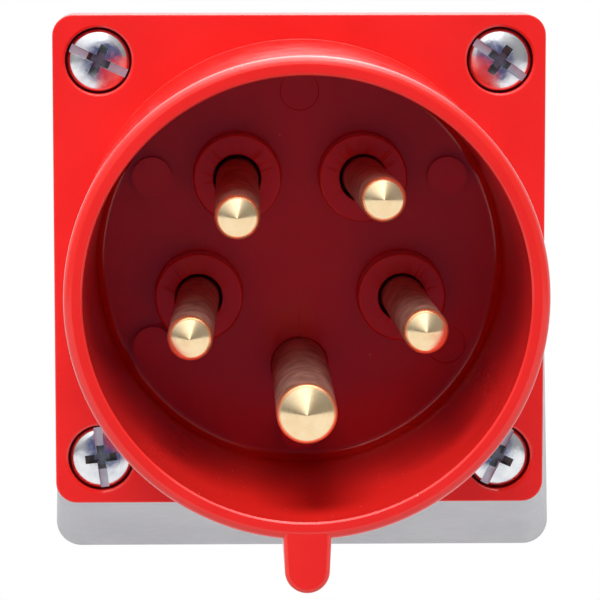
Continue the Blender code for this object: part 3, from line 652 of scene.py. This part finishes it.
def collar_profile():
    """From the floor's middle up the inside, over the rim, down the outside and in at the back."""
    base = COLLAR_OUTER + BASE_FILLET
    points = [
        (0.0, 0.0),
        (FLOOR_RADIUS, 0.0),
        (COLLAR_INNER, COLLAR_HEIGHT - RIM_CHAMFER),
        (COLLAR_INNER + RIM_CHAMFER, COLLAR_HEIGHT),
        (COLLAR_OUTER, COLLAR_HEIGHT),
        (COLLAR_OUTER, -SINK),
        (base, -SINK),
        (base, 0.75 * FLANGE_REAR),
        (SKIRT_OUTER, 0.75 * FLANGE_REAR),
        (SKIRT_OUTER, SKIRT_END),
        (SKIRT_INNER, SKIRT_END),
        (SKIRT_INNER, FLOOR_REAR),
        (0.0, FLOOR_REAR),
    ]
    radii = {
        1: FLOOR_FILLET,
        2: RIM_EDGE,
        3: RIM_EDGE,
        4: RIM_ROUND,
        5: NEARLY_ALL * BASE_FILLET,
        9: FLANGE_BACK_EDGE,
        10: FLANGE_BACK_EDGE,
    }
    return soften(points, radii, 6)


def boss_profile():
    """Boss round a loose pin, with a small fillet where it meets the floor."""
    root = 0.5 * FLOOR_REAR
    foot = BOSS_RADIUS + BOSS_FILLET
    points = [
        (0.0, BOSS_HEIGHT), (BOSS_RADIUS, BOSS_HEIGHT), (BOSS_RADIUS, -SINK),
        (foot, -SINK), (foot, root), (0.0, root),
    ]
    return soften(points, {1: BOSS_EDGE, 2: NEARLY_ALL * BOSS_FILLET})


def key_outline(inset, height):
    """U-shaped outline of the key rib, from inside the collar's wall round its end and back."""
    root = 0.5 * (COLLAR_OUTER + COLLAR_INNER)
    centre = COLLAR_OUTER + KEY_REACH - KEY_END_RADIUS
    points = [(KEY_HALF_ROOT - inset, -root, height)]
    for step in range(2 * CORNER_STEPS + 1):
        angle = math.pi * step / (2 * CORNER_STEPS)
        radius = KEY_END_RADIUS - inset
        points.append((radius * math.cos(angle), -centre - radius * math.sin(angle), height))
    return points + [(inset - KEY_HALF_ROOT, -root, height)]


def key_shape():
    """The key rib, with a rounded front edge."""
    stations = [(KEY_EDGE, KEY_FRONT - KEY_LENGTH), (0.0, KEY_FRONT - KEY_LENGTH + KEY_EDGE)]
    for step in range(ARC_STEPS + 1):
        angle = 0.5 * math.pi * step / ARC_STEPS
        inset = KEY_EDGE * (1.0 - math.cos(angle))
        stations.append((inset, KEY_FRONT + KEY_EDGE * (math.sin(angle) - 1.0)))
    return skin([key_outline(inset, height) for inset, height in stations])


def plug(radius, low, high):
    """Profile of a plain cylinder."""
    return [(0.0, high), (radius, high), (radius, low), (0.0, low)]


def ejector_profile():
    """Shallow dish that an ejector pin leaves in the cavity's floor."""
    wide = EJECTOR_RADIUS + EJECTOR_SLOPE
    return [
        (0.0, OVERCUT), (wide, OVERCUT), (wide, 0.1 * EJECTOR_DEPTH),
        (EJECTOR_RADIUS - EJECTOR_SLOPE, -EJECTOR_DEPTH), (0.0, -EJECTOR_DEPTH),
    ]


def build_front_housing():
    """Flange, collar, bosses, key rib, bores, screw recesses and ejector marks in one moulding."""
    housing = solid("front_housing_shell", skin(flange_rings()), INLET)
    opening = turned(plug(OPENING_RADIUS, FLANGE_REAR - OVERCUT, OVERCUT), COLLAR_STEPS)
    carve(housing, "DIFFERENCE", opening)
    carve(housing, "UNION", turned(collar_profile(), COLLAR_STEPS))
    carve(housing, "UNION", spread(turned(boss_profile(), HOLE_STEPS), PHASE_PLACES))
    carve(housing, "UNION", key_shape())

    rear_places = ring_places(REAR_BOSS_ANGLES, REAR_BOSS_CIRCLE)
    rear_boss = turned(plug(REAR_BOSS_RADIUS, REAR_BOSS_END, 0.5 * FLOOR_REAR), HOLE_STEPS)
    carve(housing, "UNION", spread(rear_boss, rear_places))
    pilot = turned(plug(REAR_PILOT_RADIUS, REAR_BOSS_END - OVERCUT, REAR_PILOT_END), HOLE_STEPS)
    carve(housing, "DIFFERENCE", spread(pilot, rear_places))

    phase_end = FLOOR_REAR - BOSS_HEIGHT - OVERCUT
    phase_bore = turned(lipped_bore(PHASE_HOLE, HOLE_LIP, phase_end), HOLE_STEPS)
    on_bosses = [Matrix.Translation((0.0, 0.0, BOSS_HEIGHT)) @ place for place in PHASE_PLACES]
    carve(housing, "DIFFERENCE", spread(phase_bore, on_bosses))
    earth_bore = turned(lipped_bore(EARTH_HOLE, HOLE_LIP, FLOOR_REAR - OVERCUT), HOLE_STEPS)
    carve(housing, "DIFFERENCE", spread(earth_bore, ring_places([EARTH_ANGLE], PIN_CIRCLE)))
    screw_hole = [(SCREW_HOLE, FLANGE_REAR - OVERCUT)]
    recess = lipped_bore(RECESS_RADIUS, RECESS_LIP, RECESS_FLOOR, screw_hole)
    carve(housing, "DIFFERENCE", spread(turned(recess, HOLE_STEPS), corner_places()))
    mark = turned(ejector_profile(), HOLE_STEPS)
    carve(housing, "DIFFERENCE", spread(mark, ring_places(EJECTOR_ANGLES, EJECTOR_CIRCLE)))
    dress(housing, RED, "inlet_body", "front_housing")


# Pins

def pin_profile(radius, reach, cone):
    """Cone tip, shaft, trapped shoulder and bored barrel, from the guide hole's middle."""
    tip = reach - PIN_PIVOT
    shoulder = radius + SHOULDER_STEP
    barrel = radius + BARREL_STEP
    front = SHOULDER_FRONT - PIN_PIVOT
    rear = SHOULDER_REAR - PIN_PIVOT
    end = BARREL_END - PIN_PIVOT
    bore_end = end + WIRE_BORE_DEPTH
    points = [
        (0.0, tip), (radius, tip - cone), (radius, front), (shoulder, front), (shoulder, rear),
        (barrel, rear), (barrel, end), (WIRE_BORE, end), (WIRE_BORE, bore_end),
        (0.0, bore_end + 0.5 * WIRE_BORE),
    ]
    radii = {1: TIP_ROUND, 3: BARREL_EDGE, 4: BARREL_EDGE, 6: BARREL_EDGE, 7: 0.5 * BARREL_EDGE}
    path = soften(points, radii, 8)
    steps = [APEX_RADIUS] + [share * path[1][0] / CONE_STEPS for share in range(1, CONE_STEPS)]
    flank = [(step, tip - cone / radius * step) for step in steps]
    return path[:1] + flank + path[1:]


def clamp_places():
    """Two threaded holes side by side, with their axes along local +X of the pin."""
    sideways = Matrix.Rotation(0.5 * math.pi, 4, "Y")
    first = BARREL_END - PIN_PIVOT + CLAMP_INSET
    heights = [first + CLAMP_PITCH * index for index in range(2)]
    return [Matrix.Translation((0.0, 0.0, height)) @ sideways for height in heights]


def build_pin(name, angle, radius, reach, cone, lean, body):
    """One turned pin: a bright cone, a copper-coloured ring round it that is a painted reflection of the
    red collar, and a shaft painted darker and pinker for the shade and red light inside the collar.
    """
    turn = math.radians(angle)
    foot = (PIN_CIRCLE * math.cos(turn), PIN_CIRCLE * math.sin(turn), PIN_PIVOT)
    stand = Matrix.Translation(foot)
    place = INLET @ stand @ lean @ Matrix.Rotation(turn, 4, "Z")
    profile = pin_profile(radius, reach, cone)
    pin = solid(f"pin_{name}_turned", turned(profile, PIN_STEPS), place)
    hole = turned(plug(CLAMP_HOLE, 0.0, 2.0 * (radius + BARREL_STEP)), HOLE_STEPS // 2)
    carve(pin, "DIFFERENCE", spread(hole, clamp_places()))
    dress(pin, BRASS, body, f"pin_{name}")
    pin.data.materials.append(BRASS_TIP)
    pin.data.materials.append(BRASS_RING_RED_REFLECTION)
    shoulder = profile[CONE_STEPS + 1][0]
    # The cone gets the tip's brass; the rounded shoulder round it gets the painted reflection of the
    # collar.
    for face in pin.data.polygons:
        if face.center.z > reach - PIN_PIVOT - cone - TIP_ROUND:
            face.material_index = 1 if face.center.xy.length < shoulder else 2


def build_pins():
    """Four loose pins that lean as they stand, and the upright earth pin."""
    for name, (angle, towards, lean) in PHASE_PINS.items():
        heading = math.radians(towards)
        hinge = Vector((-math.sin(heading), math.cos(heading), 0.0))
        tilt = Matrix.Rotation(math.radians(lean), 4, hinge)
        build_pin(name, angle, PHASE_RADIUS, PHASE_REACH, PHASE_CONE, tilt, f"contact_{name}")
    upright = Matrix.Identity(4)
    build_pin("earth", EARTH_ANGLE, EARTH_RADIUS, EARTH_REACH, EARTH_CONE, upright, "inlet_body")


# Cover screws and sealing rings

def head_profile():
    """Domed pan head above the seat at height 0."""
    points = [(0.0, HEAD_HEIGHT)]
    for share in HEAD_SHARES:
        points.append((share * HEAD_RADIUS, HEAD_HEIGHT - HEAD_CROWN * share * share))
    rest = [
        points[-1],
        (HEAD_RADIUS, HEAD_HEIGHT - HEAD_CROWN - 0.3 * HEAD_ROUND),
        (HEAD_RADIUS, 0.0),
        (0.0, 0.0),
    ]
    return points[:-1] + soften(rest, {1: 0.8 * HEAD_ROUND, 2: HEAD_FOOT_ROUND})


def thread_shape():
    """A shank with a helical ridge, from inside the head to its blunt point."""
    top = 0.5 * HEAD_HEIGHT
    rows = int(round((top - THREAD_END) / THREAD_PITCH * THREAD_ROWS_PER_TURN))
    rings = []
    for row in range(rows + 1):
        height = top + (THREAD_END - top) * row / rows
        rise = (height - THREAD_END) / THREAD_POINT
        taper = min(1.0, THREAD_POINT_SHARE + (1.0 - THREAD_POINT_SHARE) * rise)
        ring = []
        for step in range(THREAD_STEPS):
            phase = (height / THREAD_PITCH - step / THREAD_STEPS) % 1.0
            ridge = min(1.0, THREAD_FLANK * (1.0 - abs(2.0 * phase - 1.0)))
            radius = taper * (THREAD_ROOT + (THREAD_CREST - THREAD_ROOT) * ridge)
            angle = 2.0 * math.pi * step / THREAD_STEPS
            ring.append((radius * math.cos(angle), radius * math.sin(angle), height))
        rings.append(ring)
    return skin(rings)


def bar(half_length, half_width, low, high, shorter=1.0, thinner=1.0):
    """A driver slot's cutter along X, shorter and thinner at its floor."""
    low_ring = [(x * half_length * shorter, y * half_width * thinner, low) for x, y in SQUARE]
    high_ring = [(x * half_length, y * half_width, high) for x, y in SQUARE]
    return skin([low_ring, high_ring])


def build_cover_screws():
    """Four alike screws, each turned its own way, with their sealing rings."""
    slot_low = HEAD_HEIGHT - SLOT_DEPTH
    cross_low = HEAD_HEIGHT - CROSS_DEPTH
    top = HEAD_HEIGHT + OVERCUT
    master = None
    for corner, (side_x, side_y, turn) in CORNERS.items():
        seat = (side_x * SCREW_HALF_PITCH, side_y * SCREW_HALF_PITCH, SCREW_SEAT)
        place = INLET @ Matrix.Translation(seat)
        name = f"cover_screw_{corner}_pan"
        turned_place = place @ Matrix.Rotation(math.radians(turn), 4, "Z")
        if master is None:
            screw = solid(name, turned(head_profile(), SCREW_STEPS), turned_place)
            carve(screw, "UNION", thread_shape())
            slot = bar(HEAD_RADIUS + OVERCUT, SLOT_HALF_WIDTH, slot_low, top)
            carve(screw, "DIFFERENCE", slot)
            for quarter in range(2):
                arm = bar(
                    CROSS_HALF_SPAN, CROSS_HALF_WIDTH, cross_low, HEAD_HEIGHT,
                    CROSS_FLOOR_LENGTH, CROSS_FLOOR_WIDTH,
                )
                across = Matrix.Rotation(0.5 * math.pi * quarter, 4, "Z")
                carve(screw, "DIFFERENCE", arm, turned_place @ across)
            master = screw.data
        else:
            screw = bpy.data.objects.new(name, master.copy())
            bpy.context.scene.collection.objects.link(screw)
            screw.matrix_world = turned_place
        soft_edges(screw, SCREW_EDGE)
        dress(screw, ZINC, f"screw_{corner}", f"cover_screw_{corner}")
        rough_and_shaded_recess(screw.data)
        build_seal(corner, place)


def rough_and_shaded_recess(mesh):
    """The walls and floor of the driver recess are rougher than the head, with painted shade: a little
    darker in the slot and dark in the cross.
    """
    mesh.materials.append(ZINC_SLOT)
    mesh.materials.append(ZINC_CROSS_SHADE)
    for face in mesh.polygons:
        reach = face.center.xy.length
        dome = HEAD_HEIGHT - HEAD_CROWN * (reach / HEAD_RADIUS) ** 2
        inside = 0.0 < face.center.z < dome - SCREW_EDGE and reach < HEAD_RADIUS - HEAD_ROUND
        if inside:
            face.material_index = 2 if reach < RECESS_REACH else 1


def build_seal(corner, place):
    """Rubber ring that rides up with its screw."""
    low = SEAL_FRONT - SEAL_THICKNESS
    points = [
        (SEAL_INNER, SEAL_FRONT), (SEAL_OUTER, SEAL_FRONT), (SEAL_OUTER, low), (SEAL_INNER, low),
    ]
    radii = {0: SEAL_INNER_ROUND, 1: SEAL_OUTER_ROUND, 2: SEAL_OUTER_ROUND, 3: SEAL_INNER_ROUND}
    ring = turned(soften(points, radii), SCREW_STEPS, closed=True)
    seal = solid(f"screw_seal_{corner}_ring", ring, place)
    dress(seal, RUBBER, f"seal_{corner}", f"screw_seal_{corner}")


# Wall box and cable entry

BOX_LOW, BOX_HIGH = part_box("wall_box")


def box_edge(side_x, side_z, inset):
    """The long edge of the wedge at one corner: its ends on the wall and at the flange."""
    end_x = BOX_HIGH.x if side_x > 0 else BOX_LOW.x
    end_z = BOX_HIGH.z if side_z > 0 else BOX_LOW.z
    wall_end = Vector((end_x - side_x * inset, 0.0, end_z - side_z * inset))
    side = HALF_SIDE - inset
    return wall_end, INLET @ Vector((side_x * side, side_z * side, BOX_FRONT))


def box_ring(inset, share, radius):
    """Rounded section of the wedge at a share of the way from the wall to the flange."""
    sides = ((1, 1), (-1, 1), (-1, -1), (1, -1))
    corners = []
    for side_x, side_z in sides:
        wall_end, front_end = box_edge(side_x, side_z, inset)
        corners.append(wall_end.lerp(front_end, share))
    points = []
    for index, corner in enumerate(corners):
        back = (corners[index - 1] - corner).normalized()
        ahead = (corners[(index + 1) % 4] - corner).normalized()
        for step in range(CORNER_STEPS + 1):
            angle = 0.5 * math.pi * step / CORNER_STEPS
            along_back = back * radius * (1.0 - math.sin(angle))
            along_ahead = ahead * radius * (1.0 - math.cos(angle))
            points.append(corner + along_back + along_ahead)
    return points


def box_solid(inset, first, last, radius, edge):
    """The wedge between two shares of its length, with soft edges at both ends."""
    stations = []
    for step in range(ARC_STEPS + 1):
        angle = 0.5 * math.pi * step / ARC_STEPS
        stations.append((edge * (1.0 - math.sin(angle)), edge * (1.0 - math.cos(angle))))
    length = -box_edge(1, -1, 0.0)[1].y
    rings = [box_ring(inset + pull, first + step / length, radius) for pull, step in stations]
    stations.reverse()
    rings += [box_ring(inset + pull, last - step / length, radius) for pull, step in stations]
    return skin(rings)


def cable_matrix():
    """On the outside of the top wall, with +Z out of it."""
    wall_end, front_end = box_edge(1, 1, 0.0)
    draft = math.atan2(wall_end.z - front_end.z, wall_end.y - front_end.y)
    height = wall_end.z - CABLE_SETBACK * math.tan(draft)
    return Matrix.Translation((0.0, -CABLE_SETBACK, height)) @ Matrix.Rotation(draft, 4, "X")


def slot_shape():
    """Cutter for one wall slot: long along Z, with round ends, through the back wall along Y."""
    outline = []
    reach = WALL_SLOT_HALF_LENGTH - WALL_SLOT_HALF_WIDTH
    for end in (1, -1):
        for step in range(CORNER_STEPS + 1):
            angle = math.pi * step / CORNER_STEPS
            x = end * WALL_SLOT_HALF_WIDTH * math.cos(angle)
            outline.append((x, end * (reach + WALL_SLOT_HALF_WIDTH * math.sin(angle))))
    depth = BOX_BACK_WALL + OVERCUT
    return skin([[(x, y, z) for x, z in outline] for y in (-depth, depth)])


def build_wall_box():
    """Hollow wedge with corner posts, insert pockets, wall slots and the cable hole."""
    world = Matrix.Identity(4)
    box = solid("wall_box_shell", box_solid(0.0, 0.0, 1.0, BOX_CORNER, BOX_EDGE), world)
    length = -box_edge(1, -1, 0.0)[1].y
    first = BOX_BACK_WALL / length
    last = 1.0 + OVERCUT / length
    hollow = solid("hollow", box_solid(BOX_WALL, first, last, BOX_CORNER, HOLLOW_EDGE), world)
    post = spread(turned(plug(POST_RADIUS, POST_END, 0.0), HOLE_STEPS), corner_places())
    carve(hollow, "DIFFERENCE", post, INLET)
    room = bmesh.new()
    room.from_mesh(hollow.data)
    bpy.data.objects.remove(hollow, do_unlink=True)
    carve(box, "DIFFERENCE", room)

    pocket = plug(INSERT_POCKET, INSERT_FLOOR, 0.0)[:-1]
    pocket += plug(SCREW_HOLE, PILOT_END, INSERT_FLOOR)[1:]
    carve(box, "DIFFERENCE", spread(turned(pocket, HOLE_STEPS), corner_places()), INLET)
    places = [
        Matrix.Translation((side_x * WALL_SLOT_X, 0.0, side_z * WALL_SLOT_Z))
        for side_x in (-1, 1)
        for side_z in (-1, 1)
    ]
    carve(box, "DIFFERENCE", spread(slot_shape(), places))
    cable_hole = turned(plug(CABLE_HOLE, -BOX_WALL - OVERCUT, OVERCUT), HOLE_STEPS)
    carve(box, "DIFFERENCE", cable_hole, cable_matrix())
    dress(box, GREY, "inlet_body", "wall_box")


def build_grommet():
    """Grommet that grips the top wall by a groove, closed by a thin domed membrane."""
    points = [
        (0.0, GROMMET_DOME),
        (GROMMET_TOP, GROMMET_DOME),
        (GROMMET_GROOVE, GROMMET_LIP_HIGH),
        (GROMMET_LIP, GROMMET_LIP_HIGH),
        (GROMMET_LIP, GROMMET_LIP_LOW),
        (GROMMET_GROOVE, GROMMET_LIP_LOW),
        (GROMMET_GROOVE, GROMMET_INNER_HIGH),
        (GROMMET_LIP, GROMMET_INNER_HIGH),
        (GROMMET_LIP, GROMMET_INNER_LOW),
        (GROMMET_BORE, GROMMET_INNER_LOW),
        (GROMMET_BORE, GROMMET_LIP_LOW),
        (GROMMET_TOP - GROMMET_MEMBRANE, GROMMET_DOME - GROMMET_MEMBRANE),
        (0.0, GROMMET_DOME - GROMMET_MEMBRANE),
    ]
    radii = {index: GROMMET_ROUND for index in (2, 3, 7, 8)}
    radii[1] = 1.5 * GROMMET_ROUND
    grommet = solid("cable_grommet_boot", turned(soften(points, radii), HOLE_STEPS), cable_matrix())
    dress(grommet, RUBBER, "inlet_body", "cable_grommet")


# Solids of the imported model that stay

def dress_inner_pieces():
    """Materials and small rounds for the gasket and for what is inside the box."""
    looks = {
        "flange_gasket": RUBBER, "contact_carrier": DARK, "thread_insert": BRASS,
        "carrier_screw": ZINC, "clamp_screw": ZINC,
    }
    for name, obj in frame["nodes"].items():
        for prefix, look in looks.items():
            if name.startswith(prefix):
                obj.data.materials.clear()
                obj.data.materials.append(look)
                soft_edges(obj, INNER_EDGE)


# Light, floor and camera

FOCAL_PIXELS = 3413.97
IMAGE_SIDE = 600.0
SENSOR = 36.0
CAMERA_SHIFT = Vector((-0.0674, 5.6567, -487.307)) * MM
CAMERA_PITCH = math.radians(6.8927)
CAMERA_YAW = math.radians(1.2288)
CAMERA_ROLL = math.radians(0.0227)
FLOOR_HEIGHT = -0.62
FLOOR_HALF = 12.0
FLOOR_GLOW = 0.5
AMBIENT = 0.52
AMBIENT_FRONT = 0.0
FADE_INNER = 78.0
FADE_OUTER = 112.0
DOME_RADIUS = 0.9
DOME_REACH = 88.0
DOME_DIP = 7.0
DOME_STEPS = 24
FRONT_REACH = 27.0
FRONT_RADIUS = 0.3
FRONT_GLOW = (0.06, 0.08, 0.2)

# What the pin tips mirror round the upper half of the room: degrees from the right, and radiance
DOME_GLOW = (
    (0.0, 0.33), (30.0, 0.36), (45.0, 0.42), (60.0, 0.6), (72.0, 0.9), (80.0, 2.0),
    (120.0, 2.0), (128.0, 0.8), (135.0, 0.45), (150.0, 0.42), (165.0, 0.28), (180.0, 0.25),
)

# The overhead soft box as rounded edges mirror it, in the same terms
TOP_GLOW = ((42.0, 1.0), (62.0, 3.0), (80.0, 6.5), (112.0, 6.5), (130.0, 3.5), (145.0, 1.0))
TOP_REACH = (63.0, 150.0)
TOP_RADIUS = 0.8

# Soft boxes: angle from the inlet axis and angle round it in degrees, then distance, width and height
# in metres, and radiance
SOFT_BOXES = {
    "key": (60.0, 97.0, 1.4, 0.91, 0.75, 14.4),
    "left": (78.0, 198.0, 0.3, 0.3, 0.3, 1.65),
    "right": (78.0, 342.0, 0.3, 0.3, 0.3, 1.85),
    "low": (60.0, 270.0, 0.28, 0.2, 0.07, 2.6),
}
SOFT_BOX_TARGET = Vector((0.0, 0.0, 0.03))


def towards(polar, azimuth):
    """Direction at an angle from the inlet axis and an angle round it, in degrees."""
    tilt = math.radians(polar)
    turn = math.radians(azimuth)
    return Vector((math.sin(tilt) * math.cos(turn), math.sin(tilt) * math.sin(turn), math.cos(tilt)))


def make_camera():
    """The photograph's camera, placed from the inlet frame."""
    data = bpy.data.cameras.new("camera")
    data.sensor_width = SENSOR
    data.lens = FOCAL_PIXELS / IMAGE_SIDE * SENSOR
    data.clip_start = 0.01
    camera = bpy.data.objects.new("camera", data)
    bpy.context.scene.collection.objects.link(camera)
    turn = (
        Matrix.Rotation(CAMERA_ROLL, 4, "Z")
        @ Matrix.Rotation(CAMERA_PITCH, 4, "X")
        @ Matrix.Rotation(CAMERA_YAW, 4, "Y")
    )
    camera.matrix_world = INLET @ (Matrix.Translation(CAMERA_SHIFT) @ turn).inverted()
    bpy.context.scene.camera = camera


def soft_box(name, polar, azimuth, distance, width, height, radiance):
    """A rectangular lamp aimed into the collar, hidden from the camera and from reflections."""
    data = bpy.data.lights.new(name, "AREA")
    data.shape = "RECTANGLE"
    data.size = width
    data.size_y = height
    data.energy = radiance * math.pi * width * height
    lamp = bpy.data.objects.new(name, data)
    bpy.context.scene.collection.objects.link(lamp)
    turn = math.radians(azimuth)
    out = towards(polar, azimuth).normalized()
    right = Vector((-math.sin(turn), math.cos(turn), 0.0))
    matrix = Matrix((right, out.cross(right), out)).transposed().to_4x4()
    matrix.translation = SOFT_BOX_TARGET + distance * towards(polar, azimuth)
    lamp.matrix_world = INLET @ matrix
    lamp.visible_camera = False
    lamp.visible_glossy = False


def make_world():
    """Dim light from behind and the sides, and plain white to the camera and to reflections."""
    world = bpy.data.worlds.new("studio")
    bpy.context.scene.world = world
    world.use_nodes = True
    nodes, links = world.node_tree.nodes, world.node_tree.links
    dim = nodes["Background"]
    dim.inputs["Color"].default_value = (1.0, 1.0, 1.0, 1.0)
    facing = nodes.new("ShaderNodeVectorMath")
    facing.operation = "DOT_PRODUCT"
    facing.inputs[1].default_value = INLET.col[2].to_3d()
    links.new(nodes.new("ShaderNodeTexCoord").outputs["Generated"], facing.inputs[0])
    fade = nodes.new("ShaderNodeMapRange")
    fade.interpolation_type = "SMOOTHSTEP"
    limits = {
        "From Min": math.cos(math.radians(FADE_OUTER)),
        "From Max": math.cos(math.radians(FADE_INNER)),
        "To Min": AMBIENT,
        "To Max": AMBIENT_FRONT,
    }
    for name, value in limits.items():
        fade.inputs[name].default_value = value
    links.new(facing.outputs["Value"], fade.inputs["Value"])
    links.new(fade.outputs["Result"], dim.inputs["Strength"])
    white = nodes.new("ShaderNodeBackground")
    white.inputs["Color"].default_value = (1.0, 1.0, 1.0, 1.0)
    white.inputs["Strength"].default_value = 1.0
    path = nodes.new("ShaderNodeLightPath")
    seen = path.outputs["Is Camera Ray"]
    for ray in ("Is Glossy Ray", "Is Transmission Ray"):
        either = nodes.new("ShaderNodeMath")
        either.operation = "MAXIMUM"
        links.new(seen, either.inputs[0])
        links.new(path.outputs[ray], either.inputs[1])
        seen = either.outputs[0]
    mix = nodes.new("ShaderNodeMixShader")
    links.new(seen, mix.inputs[0])
    links.new(dim.outputs[0], mix.inputs[1])
    links.new(white.outputs[0], mix.inputs[2])
    links.new(mix.outputs[0], nodes["World Output"].inputs["Surface"])


def make_floor():
    """A plain pale floor: half its brightness to the camera is its own, and reflections see it white."""
    look = Look("pale_floor", (0.5, 0.5, 0.5), 0.8, specular=0.1)
    path = look.node("ShaderNodeLightPath").outputs
    to_camera = look.math("MULTIPLY", path["Is Camera Ray"], FLOOR_GLOW)
    share = look.math("MAXIMUM", path["Is Glossy Ray"], to_camera)
    white = look.node("ShaderNodeEmission").outputs[0]
    shaders = {0: share, 1: look.shader.outputs[0], 2: white}
    mix = look.node("ShaderNodeMixShader", shaders).outputs[0]
    look.links.new(mix, look.nodes["Material Output"].inputs["Surface"])
    look.material.cycles.emission_sampling = "NONE"
    shape = bmesh.new()
    corners = [(x * FLOOR_HALF, y * FLOOR_HALF, FLOOR_HEIGHT) for x, y in SQUARE]
    shape.faces.new([shape.verts.new(corner) for corner in corners])
    floor = solid("floor", shape, Matrix.Identity(4))
    floor.data.materials.append(look.material)


def glow_material(name):
    """An emitter that lights nothing by itself; returns its material, nodes, links and shader."""
    material = bpy.data.materials.new(name)
    material.use_nodes = True
    nodes, links = material.node_tree.nodes, material.node_tree.links
    glow = nodes.new("ShaderNodeEmission")
    links.new(glow.outputs[0], nodes["Material Output"].inputs["Surface"])
    material.cycles.emission_sampling = "NONE"
    return material, nodes, links, glow


def round_glow(name, levels):
    """Brightness that changes with the angle round the inlet's axis."""
    material, nodes, links, glow = glow_material(name)
    parts = nodes.new("ShaderNodeSeparateXYZ")
    links.new(nodes.new("ShaderNodeTexCoord").outputs["Object"], parts.inputs[0])
    angle = nodes.new("ShaderNodeMath")
    angle.operation = "ARCTAN2"
    links.new(parts.outputs["Y"], angle.inputs[0])
    links.new(parts.outputs["X"], angle.inputs[1])
    share = nodes.new("ShaderNodeMath")
    share.operation = "DIVIDE"
    links.new(angle.outputs[0], share.inputs[0])
    share.inputs[1].default_value = math.pi
    ramp = nodes.new("ShaderNodeValToRGB")
    links.new(share.outputs[0], ramp.inputs[0])
    brightest = max(level for _, level in levels)
    stops = ramp.color_ramp.elements
    for index, (degrees, level) in enumerate(levels):
        stop = stops[index] if index < 2 else stops.new(0.5)
        stop.position = degrees / 180.0
        stop.color = (level / brightest, level / brightest, level / brightest, 1.0)
    links.new(ramp.outputs["Color"], glow.inputs["Color"])
    glow.inputs["Strength"].default_value = brightest
    return material


def sky_patch(name, material, near, far, first, last, radius):
    """Part of a sphere round the inlet, seen only by reflections; its limits are in degrees."""
    rings = []
    for row in range(DOME_STEPS + 1):
        polar = near + (far - near) * row / DOME_STEPS
        ring = []
        for step in range(DOME_STEPS + 1):
            azimuth = first + (last - first) * step / DOME_STEPS
            ring.append(radius * towards(polar, azimuth))
        rings.append(ring)
    shape = bmesh.new()
    rows = [[shape.verts.new(point) for point in ring] for ring in rings]
    for low, high in zip(rows, rows[1:]):
        for index in range(DOME_STEPS):
            shape.faces.new([low[index], low[index + 1], high[index + 1], high[index]])
    bmesh.ops.remove_doubles(shape, verts=shape.verts, dist=MM)
    patch = solid(name, shape, INLET)
    patch.data.materials.append(material)
    seen_only_by(patch, "glossy")


def seen_only_by(obj, kind):
    """Hide an object from all rays but one kind."""
    for ray in ("camera", "diffuse", "glossy", "transmission", "volume_scatter", "shadow"):
        setattr(obj, f"visible_{ray}", ray == kind)


def make_reflections():
    """The room as the metal mirrors it: a dim half above with a bright window, and a dark front."""
    dome = round_glow("studio_dome", DOME_GLOW)
    sky_patch("studio_dome", dome, 0.0, DOME_REACH, -DOME_DIP, 180.0 + DOME_DIP, DOME_RADIUS)
    top = round_glow("studio_top", TOP_GLOW)
    sky_patch("studio_top", top, *TOP_REACH, TOP_GLOW[0][0], TOP_GLOW[-1][0], TOP_RADIUS)
    material, _, _, glow = glow_material("studio_front")
    glow.inputs["Color"].default_value = (*FRONT_GLOW, 1.0)
    sky_patch("studio_front", material, 0.0, FRONT_REACH, 0.0, 360.0, FRONT_RADIUS)


build_front_housing()
build_pins()
build_cover_screws()
build_wall_box()
build_grommet()
dress_inner_pieces()
make_camera()
make_world()
make_floor()
make_reflections()
for lamp_name, numbers in SOFT_BOXES.items():
    soft_box(lamp_name, *numbers)
bpy.context.scene.view_settings.view_transform = "Standard"
